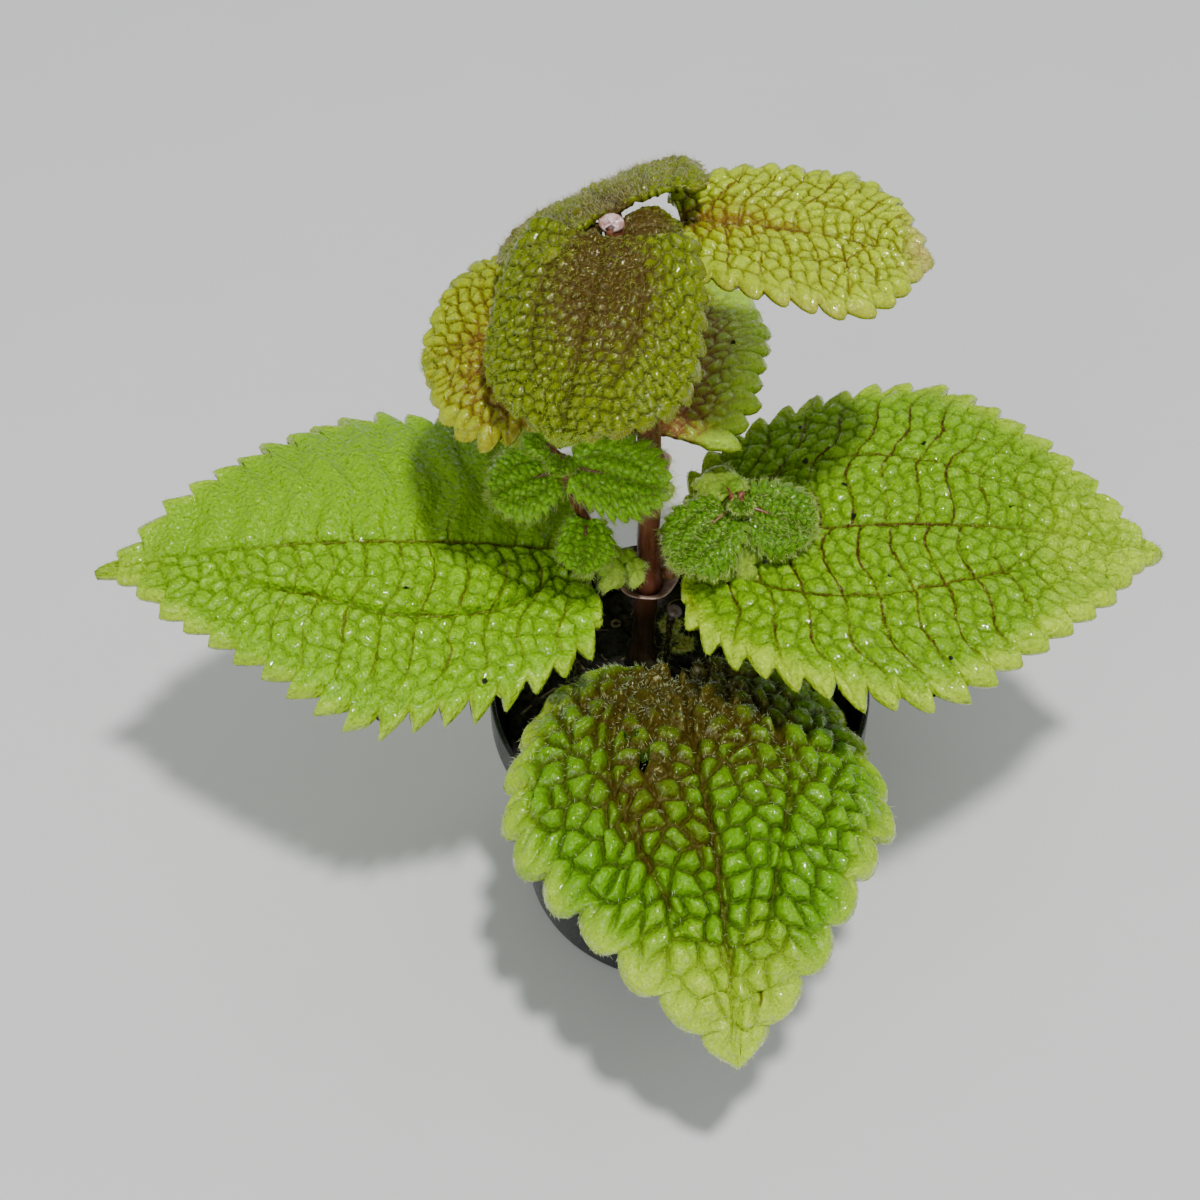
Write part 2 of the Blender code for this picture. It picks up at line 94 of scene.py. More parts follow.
def feed(tree, socket, value):
    """Puts a number, a colour or another socket into a socket."""
    if isinstance(value, bpy.types.NodeSocket):
        tree.links.new(value, socket)
    else:
        socket.default_value = value


print("helpers that add nodes ready")


# %% Helpers for sums
def maths(tree, operation, first, second=None):
    made = add_node(tree, "ShaderNodeMath", operation=operation)
    feed(tree, made.inputs[0], first)
    if second is not None:
        feed(tree, made.inputs[1], second)
    return made.outputs[0]


def plus(tree, first, second):
    return maths(tree, "ADD", first, second)


def times(tree, first, second):
    return maths(tree, "MULTIPLY", first, second)


def shake(tree, value, size):
    """A texture's value moved round nought and scaled, to unsettle another value."""
    return times(tree, maths(tree, "SUBTRACT", value, 0.5), size)


print("helpers for sums ready")


# %% Helpers for colours, ramps and noise
def blend_colours(tree, share, first, second, mode="MIX"):
    made = add_node(tree, "ShaderNodeMix", data_type="RGBA", blend_type=mode)
    for index, value in ((0, share), (6, first), (7, second)):
        feed(tree, made.inputs[index], value)
    return made.outputs[2]


def ramp_between(tree, value, low, high, to_low=0.0, to_high=1.0):
    """A smooth step of a value from one level to another."""
    made = add_node(tree, "ShaderNodeMapRange", interpolation_type="SMOOTHSTEP")
    for label, number in (("Value", value), ("From Min", low), ("From Max", high), ("To Min", to_low),
                          ("To Max", to_high)):
        feed(tree, made.inputs[label], number)
    return made.outputs["Result"]


def noise(tree, place, scale, detail=3.0, roughness=0.5):
    """A cloudy texture. Its scale counts the turns in a metre."""
    made = add_node(tree, "ShaderNodeTexNoise", scale=scale, detail=detail, roughness=roughness)
    wire(tree, place, made.inputs["Vector"])
    return made.outputs["Fac"]


print("helpers for colours ready")

# %% [markdown]
# ## Groups and materials
# An effect that several finishes share is built once as a node group with named sockets. Each
# finish is a material that places the group and sets its own values. Textures are read at the
# point on the object itself, so they stay put when the plant is moved, and nothing is unwrapped.


# %% Helpers for groups and materials
def new_group(name, inputs, outputs):
    """A node group whose inputs and outputs are given as names with their kinds."""
    group = bpy.data.node_groups.new(name, "ShaderNodeTree")
    for side, sockets in (("INPUT", inputs), ("OUTPUT", outputs)):
        for label, kind in sockets.items():
            group.interface.new_socket(label, in_out=side, socket_type="NodeSocket" + kind)
    entry = group.nodes.new("NodeGroupInput")
    leave = group.nodes.new("NodeGroupOutput")
    return group, entry.outputs, leave.inputs


def new_material(name, roughness=0.5):
    material = bpy.data.materials.new(name)
    material.use_nodes = True
    tree = material.node_tree
    shader = tree.nodes["Principled BSDF"]
    shader.inputs["Roughness"].default_value = roughness
    return material, tree, shader


def set_sockets(node, **values):
    """Sets plain numbers and colours on a node's own sockets."""
    for name, value in values.items():
        label = name.replace("_", " ").title().replace("Ior", "IOR")
        node.inputs[label].default_value = value


def place_of(tree):
    """The point on the object, in metres, that a texture is read at."""
    return tree.nodes.new("ShaderNodeTexCoord").outputs["Object"]


def surface_value(tree, name):
    """A number that was stored on the mesh's points when the piece was made."""
    made = add_node(tree, "ShaderNodeAttribute", attribute_type="GEOMETRY", attribute_name=name)
    return made.outputs["Fac"]


def add_relief(tree, shader, height, strength, distance):
    """Lets a height tilt the light on the surface, as fine relief does."""
    relief = add_node(tree, "ShaderNodeBump", strength=strength, distance=distance)
    wire(tree, height, relief.inputs["Height"])
    wire(tree, relief.outputs["Normal"], shader.inputs["Normal"])


print("helpers for materials ready")

# %% [markdown]
# ## The leaf's vein lines
# On this plant one midrib and two side ribs run from stalk to tip, and rungs cross between them
# like a ladder. The mesh carries the distance to each of them, so the shader can draw them sharp
# at any size. An image would blur and would need unwrapping.

# %% Widths and textures of the vein lines
RIB_WIDTH = 1.2
SIDE_RIB_WIDTH = 1.0
RUNG_WIDTH = 0.85
NET_WIDTH = 0.6
WOBBLE_SCALE = 260.0
SWAY_SCALE = 70.0
PATCH_SCALE = 90.0
INK_SCALE = 1400.0


def line_mask(tree, distance, width, share):
    """One on a line, fading to nought a little past its width."""
    near = maths(tree, "DIVIDE", distance, times(tree, width, share))
    return ramp_between(tree, near, 0.35, 1.25, 1.0, 0.0)


def distance_to_rung(tree, rung, wobble, sway, spacing):
    """How far a point is from the nearest rung, in millimetres."""
    turned = plus(tree, plus(tree, rung, times(tree, wobble, 0.25)), times(tree, sway, 0.5))
    part = maths(tree, "SUBTRACT", maths(tree, "FRACT", plus(tree, turned, 0.5)), 0.5)
    return times(tree, maths(tree, "ABSOLUTE", part), spacing)


print("the midrib is", RIB_WIDTH, "times as wide as a plain vein")


# %% Node group for vein lines
def make_vein_group():
    numbers = ("Rib", "Side Rib", "Rung", "Rung Spacing", "Border", "Reach", "Rungs", "Net", "Width")
    inputs = {**{label: "Float" for label in numbers}, "Place": "Vector"}
    group, take, give = new_group("vein lines", inputs, {"Mask": "Float"})
    place, width = take["Place"], take["Width"]
    wobble = shake(group, noise(group, place, WOBBLE_SCALE, 2.0), 1.0)
    sway = shake(group, noise(group, place, SWAY_SCALE, 2.0), 1.0)
    rib = maths(group, "ABSOLUTE", plus(group, take["Rib"], times(group, wobble, 0.6)))
    side = maths(group, "ABSOLUTE", plus(group, take["Side Rib"], times(group, wobble, 1.8)))
    rung = distance_to_rung(group, take["Rung"], wobble, sway, take["Rung Spacing"])
    patch = ramp_between(group, noise(group, place, PATCH_SCALE), 0.32, 0.62, 0.4, 1.0)
    ink = ramp_between(group, noise(group, place, INK_SCALE, 2.0), 0.3, 0.6, 0.55, 1.0)
    every = line_mask(group, rib, width, RIB_WIDTH)
    side_line = line_mask(group, side, width, SIDE_RIB_WIDTH)
    rung_line = times(group, line_mask(group, rung, width, RUNG_WIDTH), take["Rungs"])
    net_line = times(group, line_mask(group, take["Border"], width, NET_WIDTH), take["Net"])
    for line in (side_line, rung_line, net_line):
        every = maths(group, "MAXIMUM", every, times(group, line, patch))
    wire(group, times(group, times(group, every, ink), take["Reach"]), give["Mask"])
    return group


vein_lines = make_vein_group()
print("vein group has", len(vein_lines.nodes), "nodes")

# %% [markdown]
# ## The leaf's skin
# The colour of a puckered leaf follows its relief: deep green in the creases as painted shade,
# brighter on the domes, yellow-green towards the cut edge, and a brown flush where the leaf is young or
# shaded.
# Fine mottling breaks it up, and a few dark specks of dirt lie on the older leaves. Painting that
# by hand would take an image, so each of these is a short recipe over stored numbers and noise.

# %% Textures and parts of the skin
BLOTCH_SCALE = 60.0
MOTTLE_SCALE = 900.0
GRAIN_SCALE = 2600.0
SKIN_COLOURS = ("Crease Shade Colour", "Dome Colour", "Pale Colour", "Flush Colour", "Vein Colour")
SKIN_NUMBERS = ("Dome", "Pale", "Flush", "Vein", "Vein Strength", "Cell", "Rim", "Specks")


def green_of_skin(tree, take, mottle, blotch):
    """Painted shade in the creases up to the dome colour by the relief, then pale towards the edge and the
    tip.
    """
    lifted = plus(tree, take["Dome"], shake(tree, mottle, 0.45))
    # Painted shade: the crease colour is darker than the dome colour, as if the creases lay in shade.
    body = blend_colours(tree, ramp_between(tree, lifted, 0.0, 0.9), take["Crease Shade Colour"],
                         take["Dome Colour"])
    edge = plus(tree, take["Pale"], shake(tree, blotch, 0.8))
    edge = plus(tree, edge, shake(tree, take["Cell"], 0.12))
    # Painted light and shade: domes lean a little towards the pale colour, creases away from it.
    on_dome = maths(tree, "SUBTRACT", take["Dome"], 0.6)
    edge = plus(tree, edge, times(tree, on_dome, 0.15))
    return blend_colours(tree, ramp_between(tree, edge, 0.15, 1.0), body, take["Pale Colour"])


def brown_of_skin(tree, take, mottle, blotch, green):
    """The brown flush, strongest in the creases, then the thin brown rim and the veins."""
    warm = plus(tree, take["Flush"], shake(tree, mottle, 0.5))
    warm = plus(tree, warm, shake(tree, blotch, 0.6))
    in_crease = times(tree, maths(tree, "SUBTRACT", 1.0, take["Dome"]), 0.55)
    warm = times(tree, warm, plus(tree, in_crease, 0.65))
    flushed = blend_colours(tree, ramp_between(tree, warm, 0.1, 0.8), green, take["Flush Colour"])
    rimmed = blend_colours(tree, times(tree, take["Rim"], 0.25), flushed, take["Flush Colour"])
    vein = times(tree, take["Vein"], take["Vein Strength"])
    return blend_colours(tree, vein, rimmed, take["Vein Colour"])


def tone_and_crease_shade_of_skin(tree, take, grain, colour):
    """Fine grain, a slightly different tone for each dome, and painted shade that darkens the creases."""
    tone = ramp_between(tree, grain, 0.3, 0.7, 0.84, 1.14)
    tone = times(tree, tone, ramp_between(tree, take["Cell"], 0.0, 1.0, 0.94, 1.05))
    # Painted shade: the creases are darkened by up to a fifth.
    tone = times(tree, tone, ramp_between(tree, take["Dome"], 0.0, 0.5, 0.8, 1.0))
    grey = add_node(tree, "ShaderNodeCombineColor")
    for channel in ("Red", "Green", "Blue"):
        wire(tree, tone, grey.inputs[channel])
    return blend_colours(tree, 1.0, colour, grey.outputs[0], "MULTIPLY")


print("the skin blends", len(SKIN_COLOURS), "colours")

# %% [markdown]
# ## Dirt, wetness and fine relief of the skin
# The real leaf has a thin clear film that flashes where a dome faces the sun, and dull creases.
# Tiny pimples lie on the domes. They are far too small for the mesh, so they only tilt the light.

# %% Dirt, film and pimples
DIRT_SCALE = 130.0
DIRT_COLOUR = (0.006, 0.007, 0.004, 1.0)
FILM_SCALE = 700.0
DROP_SCALE = 1100.0
PIMPLE_SCALE = 1000.0


def dirt_on_skin(tree, take, place, mottle):
    """A few small ragged specks, each at the middle of a random cell."""
    spots = add_node(tree, "ShaderNodeTexVoronoi", scale=DIRT_SCALE, randomness=1.0)
    wire(tree, place, spots.inputs["Vector"])
    ragged = plus(tree, spots.outputs["Distance"], times(tree, mottle, 0.14))
    small = ramp_between(tree, ragged, 0.14, 0.17, 1.0, 0.0)
    split = add_node(tree, "ShaderNodeSeparateColor")
    wire(tree, spots.outputs["Color"], split.inputs[0])
    return times(tree, small, maths(tree, "LESS_THAN", split.outputs[0], take["Specks"]))


def film_on_skin(tree, take, place, dirt):
    """Where the clear film lies, and how rough the skin is under it."""
    drops = ramp_between(tree, noise(tree, place, DROP_SCALE, 2.0), 0.50, 0.58)
    wet = times(tree, drops, ramp_between(tree, take["Dome"], 0.3, 0.7))
    film = ramp_between(tree, noise(tree, place, FILM_SCALE, 3.0, 0.6), 0.40, 0.62, 0.11, 0.34)
    dull = ramp_between(tree, take["Dome"], 0.1, 0.6, 0.42, 0.0)
    return wet, plus(tree, plus(tree, film, dull), times(tree, dirt, 0.4))


def rise_of_skin(tree, take, place, mottle, grain):
    """Round pimples over mottle and grain, with the veins a little sunk."""
    pimples = add_node(tree, "ShaderNodeTexVoronoi", feature="SMOOTH_F1", scale=PIMPLE_SCALE,
                       randomness=1.0)
    wire(tree, place, pimples.inputs["Vector"])
    round_top = ramp_between(tree, pimples.outputs["Distance"], 0.0, 0.6, 1.0, 0.0)
    rise = plus(tree, times(tree, mottle, 0.5), times(tree, grain, 0.15))
    rise = plus(tree, rise, times(tree, round_top, 0.6))
    return maths(tree, "SUBTRACT", rise, times(tree, take["Vein"], 0.3))


print("pimples are about", round(1000 / PIMPLE_SCALE, 1), "mm apart")


# %% Node group for leaf skin
def make_skin_group():
    inputs = {**{label: "Color" for label in SKIN_COLOURS}, **{label: "Float" for label in SKIN_NUMBERS},
              "Place": "Vector"}
    outputs = {"Colour": "Color", "Roughness": "Float", "Height": "Float", "Wet": "Float"}
    group, take, give = new_group("leaf skin", inputs, outputs)
    place = take["Place"]
    blotch = noise(group, place, BLOTCH_SCALE)
    mottle = noise(group, place, MOTTLE_SCALE, 4.0, 0.6)
    grain = noise(group, place, GRAIN_SCALE, 2.0)
    green = green_of_skin(group, take, mottle, blotch)
    brown = brown_of_skin(group, take, mottle, blotch, green)
    toned = tone_and_crease_shade_of_skin(group, take, grain, brown)
    dirt = dirt_on_skin(group, take, place, mottle)
    wet, roughness = film_on_skin(group, take, place, dirt)
    wire(group, blend_colours(group, dirt, toned, DIRT_COLOUR), give["Colour"])
    wire(group, roughness, give["Roughness"])
    wire(group, wet, give["Wet"])
    wire(group, rise_of_skin(group, take, place, mottle, grain), give["Height"])
    return group


leaf_skin = make_skin_group()
print("skin group has", len(leaf_skin.nodes), "nodes")

# %% [markdown]
# ## Leaf material
# Every leaf uses the same two groups. What differs is five colours and how strongly the veins
# show. Light enters the thin blade a little way, so the shader gets some light scattering too.

# %% A leaf material made from the two groups
VEIN_FIELDS = {"Rib": "rib", "Side Rib": "side rib", "Rung": "rung", "Border": "border",
               "Reach": "vein reach"}
SKIN_FIELDS = {"Dome": "dome", "Pale": "pale", "Flush": "flush", "Cell": "cell", "Rim": "rim"}


def wire_fields(tree, node, fields):
    for socket, stored in fields.items():
        wire(tree, surface_value(tree, stored), node.inputs[socket])


def leaf_material(name, colours, vein_strength=0.8, rungs=0.8, net=0.5, rung_spacing=6.0, vein_width=0.35,
                  specks=0.0, bump=0.0003):
    """Colours are given for crease (a painted shade), dome, pale edge, flush and vein, in that order."""
    material, tree, shader = new_material(name, 0.4)
    place = place_of(tree)
    veins = add_node(tree, "ShaderNodeGroup", node_tree=vein_lines)
    wire_fields(tree, veins, VEIN_FIELDS)
    wire(tree, place, veins.inputs["Place"])
    set_sockets(veins, rung_spacing=rung_spacing, rungs=rungs, net=net, width=vein_width)
    skin = add_node(tree, "ShaderNodeGroup", node_tree=leaf_skin)
    wire_fields(tree, skin, SKIN_FIELDS)
    wire(tree, place, skin.inputs["Place"])
    wire(tree, veins.outputs["Mask"], skin.inputs["Vein"])
    set_sockets(skin, vein_strength=vein_strength, specks=specks)
    for label, colour in zip(SKIN_COLOURS, colours):
        skin.inputs[label].default_value = (*colour, 1.0)
    for given, wanted in (("Colour", "Base Color"), ("Roughness", "Roughness"), ("Wet", "Coat Weight")):
        wire(tree, skin.outputs[given], shader.inputs[wanted])
    add_relief(tree, shader, skin.outputs["Height"], 0.9, bump)
    set_sockets(shader, specular_ior_level=0.4, specular_tint=(0.95, 1.0, 0.42, 1.0), coat_roughness=0.08,
                subsurface_weight=0.08, subsurface_radius=(0.6, 1.0, 0.1), subsurface_scale=0.001)
    return material


print("a leaf material reads", len(VEIN_FIELDS) + len(SKIN_FIELDS), "stored numbers")

# %% [markdown]
# ## Meshes from formulas
# A leaf blade is a grid of points bent through space. Making the grid with numpy is quick and
# keeps every curve in a formula. The upper face is fine, the under face has half as many rows and
# columns, because nobody looks at it closely, and a strip of triangles joins the two at the edge.


# %% Helpers for meshes
def mesh_piece(name, points, faces, material, stored=None):
    """A smooth mesh from points in millimetres, with named numbers stored on its points."""
    mesh = bpy.data.meshes.new(name)
    mesh.from_pydata((np.asarray(points) * MM).tolist(), [], np.asarray(faces).tolist())
    mesh.validate()
    mesh.polygons.foreach_set("use_smooth", np.ones(len(mesh.polygons), dtype=bool))
    for label, values in (stored or {}).items():
        layer = mesh.attributes.new(label, "FLOAT", "POINT")
        layer.data.foreach_set("value", np.asarray(values, dtype=np.float32).ravel())
    mesh.materials.append(material)
    mesh.update()
    made = bpy.data.objects.new(name, mesh)
    bpy.context.scene.collection.objects.link(made)
    return made


def face_outward(piece):
    work = bmesh.new()
    work.from_mesh(piece.data)
    bmesh.ops.recalc_face_normals(work, faces=work.faces)
    work.to_mesh(piece.data)
    work.free()


def dress(piece, node):
    """Lets a piece ride with the plant and stand for its plain node."""
    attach(piece, "root")
    if node:
        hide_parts(node)
    return piece


def closed_piece(name, points, faces, material, node, stored=None):
    """A piece whose faces all look outward, dressed and ready."""
    made = mesh_piece(name, points, faces, material, stored)
    face_outward(made)
    return dress(made, node)


def joined_arrays(parts):
    """Joins several sets of points, faces and stored numbers into one."""
    points, faces, stored, count = [], [], {}, 0
    for part_points, part_faces, part_stored in parts:
        points.append(part_points)
        faces.append(np.asarray(part_faces) + count)
        for label, values in part_stored.items():
            stored.setdefault(label, []).append(np.ravel(values))
        count += len(part_points)
    return np.vstack(points), np.vstack(faces), {k: np.concatenate(v) for k, v in stored.items()}


def tube_arrays(path, radii, sides):
    """A closed round tube along a path. Returns points and triangles."""
    path = np.asarray(path, dtype=float)
    radii = np.asarray(radii, dtype=float)
    along = np.gradient(path, axis=0)
    along /= np.linalg.norm(along, axis=1, keepdims=True)
    helper = np.array([1.0, 0.0, 0.0]) if abs(along[0][0]) < 0.8 else np.array([0.0, 0.0, 1.0])
    across = np.cross(along[0], helper)
    rings = []
    turn = np.linspace(0, 2 * math.pi, sides, endpoint=False)
    for i in range(len(path)):
        across = across - along[i] * np.dot(across, along[i])
        across /= np.linalg.norm(across)
        other = np.cross(along[i], across)
        circle = np.outer(np.cos(turn), across) + np.outer(np.sin(turn), other)
        rings.append(path[i] + circle * radii[i])
    points = np.vstack(rings + [path[:1], path[-1:]])
    faces = []
    for i in range(len(path) - 1):
        for k in range(sides):
            n = (k + 1) % sides
            a, b = i * sides, (i + 1) * sides
            faces += [(a + k, a + n, b + n), (a + k, b + n, b + k)]
    start, end = len(points) - 2, len(points) - 1
    last = (len(path) - 1) * sides
    for k in range(sides):
        n = (k + 1) % sides
        faces += [(start, n, k), (end, last + k, last + n)]
    return points, np.array(faces)


def smooth_path(points, count):
    """More points along a route, rounded at its corners."""
    route = np.asarray(points, dtype=float)
    for _ in range(3):
        near = route[:-1] * 0.75 + route[1:] * 0.25
        far = route[:-1] * 0.25 + route[1:] * 0.75
        middle = np.stack([near, far], axis=1).reshape(-1, route.shape[1])
        route = np.vstack([route[:1], middle, route[-1:]])
    steps = np.concatenate([[0], np.cumsum(np.linalg.norm(np.diff(route[:, :3], axis=0), axis=1))])
    wanted = np.linspace(0, steps[-1], count)
    return np.stack([np.interp(wanted, steps, route[:, k]) for k in range(route.shape[1])], axis=1)


print("mesh helpers ready")

# %% [markdown]
# ## The shape of a blade
# The same few numbers shape every leaf of the plant: length, width, where it is widest, how it
# bends along its midrib and across, and how many teeth it has. They are those of the plain model
# or close to them.

# %% Blade formulas
BLADE_THICKNESS = 0.9
TIP_HALF_WIDTH = 0.6
SWEEP = 0.25
RIB_STEPS = 161


def leaf_shape(base, azimuth, length, width, pitch, pitch_tip, **more):
    """The numbers of one leaf, in millimetres and degrees."""
    leaf = {"base": base, "azimuth": azimuth, "length": length, "width": width, "pitch": pitch,
            "pitch_tip": pitch_tip, "roll": 0.0, "fold": 8.0, "droop": -25.0, "widest": 0.36,
            "base_share": 0.3, "taper": 1.3, "lobe": 5.0, "teeth": 18, "tooth": 3.0, "stalk": 1.3}
    leaf.update(more)
    return leaf


def blade_half_width(u, leaf):
    """Half the width at a share u of the length: a round base, then a taper to the tip."""
    rise = np.clip(u / leaf["widest"], 0, 1)
    round_base = leaf["base_share"] + (1 - leaf["base_share"]) * np.sqrt(1 - (1 - rise) ** 2)
    fall = np.clip((u - leaf["widest"]) / (1 - leaf["widest"]), 0, 1)
    to_tip = 1 - fall ** leaf["taper"]
    widest = leaf["width"] / 2
    return TIP_HALF_WIDTH + np.where(u < leaf["widest"], round_base, to_tip) * (widest - TIP_HALF_WIDTH)


def blade_flat(u, v, leaf):
    """The blade laid flat: lobes reach back at the base and the rows sweep forward at the edge."""
    across = v * blade_half_width(u, leaf)
    lobe = -leaf["lobe"] * np.abs(v) ** 1.6 * (1 - u) ** 4
    bend = SWEEP * np.abs(across) ** 1.5 / math.sqrt(leaf["width"] / 2) * (1 - u) ** 0.3
    return leaf["length"] * u + lobe + bend * (1 - (1 - u) ** 6), across


def rib_in_space(leaf):
    """Points and directions along the midrib, run a little past both of its ends."""
    steps = np.linspace(-0.3, 1.3, RIB_STEPS)
    share = np.clip(steps, 0, 1)
    pitch = np.radians(leaf["pitch"] + (leaf["pitch_tip"] - leaf["pitch"]) * share)
    azimuth = math.radians(leaf["azimuth"])
    run = np.stack([np.cos(pitch) * math.cos(azimuth), np.cos(pitch) * math.sin(azimuth), np.sin(pitch)], 1)
    moves = (run[1:] + run[:-1]) / 2 * (steps[1] - steps[0]) * leaf["length"]
    rib = np.vstack([[0, 0, 0], np.cumsum(moves, axis=0)])
    rib_start = np.array([np.interp(0, steps, rib[:, k]) for k in range(3)])
    return steps, rib - rib_start + np.array(leaf["base"], dtype=float), run


def blade_in_space(along, across, height, leaf):
    """Bends flat points along the midrib and across it, and lifts them off the bent face."""
    steps, rib, run = rib_in_space(leaf)
    s = along / leaf["length"]
    middle = np.stack([np.interp(s, steps, rib[:, k]) for k in range(3)], axis=-1)
    forward = np.stack([np.interp(s, steps, run[:, k]) for k in range(3)], axis=-1)
    forward = forward / np.linalg.norm(forward, axis=-1, keepdims=True)
    azimuth = math.radians(leaf["azimuth"])
    right = np.array([math.sin(azimuth), -math.cos(azimuth), 0.0]) * np.ones_like(forward)
    above = np.cross(right, forward)
    roll = math.radians(leaf["roll"])
    side = right * math.cos(roll) + above * math.sin(roll)
    normal = np.cross(side, forward)
    first = math.radians(leaf["fold"])
    turn_rate = (math.radians(leaf["droop"]) - first) / (leaf["width"] / 2)
    sign = np.sign(across)
    lean = first + turn_rate * np.abs(across)
    out = (np.sin(lean) - math.sin(first)) / turn_rate
    lift = -(np.cos(lean) - math.cos(first)) / turn_rate
    place = middle + side * (sign * out)[..., None] + normal * lift[..., None]
    surface = normal * np.cos(lean)[..., None] - side * (sign * np.sin(lean))[..., None]
    return place + surface * height[..., None]


print("blades are", BLADE_THICKNESS, "mm thick")

# %% [markdown]
# ## The puckered relief
# Between the veins the blade swells into domes, because it grows faster than its net of veins.
# Seeds on a shaken lattice give each dome its own cell. A point's height grows with its distance
# from the cell's border, which makes sharp creases and round tops, as on the real leaf.

# %% Cells, tooth outline and smooth steps
LATTICE = 128
SEED_SHAKE = 0.36
FAR_AWAY = 99.0
TOOTH_PEAK = 0.66


def cells_over(x, y, seed):
    """For points in units of one cell: distance to the cell's border, and a number for the cell."""
    rng = np.random.default_rng(seed)
    shake_x = rng.uniform(-SEED_SHAKE, SEED_SHAKE, (LATTICE, LATTICE))
    shake_y = rng.uniform(-SEED_SHAKE, SEED_SHAKE, (LATTICE, LATTICE))
    number = rng.uniform(0, 1, (LATTICE, LATTICE))
    first = np.full(x.shape, FAR_AWAY)
    second = np.full(x.shape, FAR_AWAY)
    first_x, first_y = np.zeros_like(x), np.zeros_like(x)
    second_x, second_y = np.zeros_like(x), np.zeros_like(x)
    cell = np.zeros_like(x)
    row = np.floor(x).astype(int)
    for di in (-1, 0, 1):
        i = row + di
        offset = 0.5 * (i % 2)
        column = np.floor(y - offset).astype(int)
        for dj in (-1, 0, 1):
            j = column + dj
            seed_x = i + 0.5 + shake_x[i % LATTICE, j % LATTICE]
            seed_y = j + 0.5 + offset + shake_y[i % LATTICE, j % LATTICE]
            far = (x - seed_x) ** 2 + (y - seed_y) ** 2
            nearest = far < first
            next_best = ~nearest & (far < second)
            second = np.where(nearest, first, np.where(next_best, far, second))
            second_x = np.where(nearest, first_x, np.where(next_best, seed_x, second_x))
            second_y = np.where(nearest, first_y, np.where(next_best, seed_y, second_y))
            first = np.where(nearest, far, first)
            first_x = np.where(nearest, seed_x, first_x)
            first_y = np.where(nearest, seed_y, first_y)
            cell = np.where(nearest, number[i % LATTICE, j % LATTICE], cell)
    gap = np.hypot(second_x - first_x, second_y - first_y)
    return (second - first) / (2 * np.maximum(gap, 0.2)), cell


def tooth_rise(phase, roundness):
    """How far the edge stands out over one tooth, from a hooked point to a round scallop."""
    rise = np.clip(phase / TOOTH_PEAK, 0, 1) ** 1.1
    fall = 1 - np.clip((phase - TOOTH_PEAK) / (1 - TOOTH_PEAK), 0, 1) ** 1.3
    hooked = np.where(phase < TOOTH_PEAK, rise, fall)
    scallop = np.sqrt(np.clip(1 - (2 * phase ** 1.15 - 1) ** 2, 0, 1))
    return hooked * (1 - roundness) + scallop * roundness


def smooth_step(value, low, high):
    """Nought below the low level, one above the high level, and a smooth slope between."""
    share = np.clip((value - low) / (high - low), 0, 1)
    return share * share * (3 - 2 * share)


def rounded(border, reach):
    """A round swelling that reaches full height at a distance from the cell's border."""
    return 1 - (1 - np.clip(border / reach, 0, 1)) ** 2


print("a lattice of", LATTICE, "by", LATTICE, "cells holds the domes")

# %% [markdown]
# ## Where the brown flush lies
# Young and shaded parts of a blade turn brown. A few soft spots given one by one and a flush along
# the ribs follow the real leaves closely enough, and each leaf lists its own spots.


# %% Brown flush
def flush_field(leaf, look, u, v, across, side_rib):
    """Where the blade is flushed brown: round a few spots and along its ribs."""
    flush = np.zeros_like(u)
    for spot_u, spot_v, long, wide, strength in look["flush_spots"]:
        reach = ((u - spot_u) * leaf["length"] / long) ** 2
        reach = reach + ((v - spot_v) * leaf["width"] / 2 / wide) ** 2
        flush = np.maximum(flush, np.exp(-reach) * strength)
    rib_flush, rib_reach, side_flush = look["flush_ribs"]
    on_rib = rib_flush * np.exp(-(across / 2.2) ** 2)
    on_rib = on_rib * (1 - smooth_step(u, rib_reach - 0.2, rib_reach + 0.1))
    on_side = np.where(v > 0, side_flush, 0.3 * side_flush) * np.exp(-(side_rib / 2.0) ** 2)
    on_side = on_side * (1 - smooth_step(u, rib_reach - 0.3, rib_reach))
    return np.maximum(flush, np.maximum(on_rib, on_side))


print("a brown spot has a place, two reaches and a strength")

# %% [markdown]
# ## Height of the puckered face
# All heights are added over the smooth blade: large domes, small domes between them, troughs along
# the ribs and the rungs. A leaf that is smooth on one side gets fine ripples there in place of
# domes. Real height was chosen over a painted one, because the domes cast shadows on each other.

# %% Relief of a blade
SIDE_RIB_SHARE = 0.52
RUNG_SLOPE = 0.2
CELLS_PER_RUNG = 2
CELL_STRETCH = 1.1
DOME_REACH = 0.42
BUBBLE_REACH = 0.5


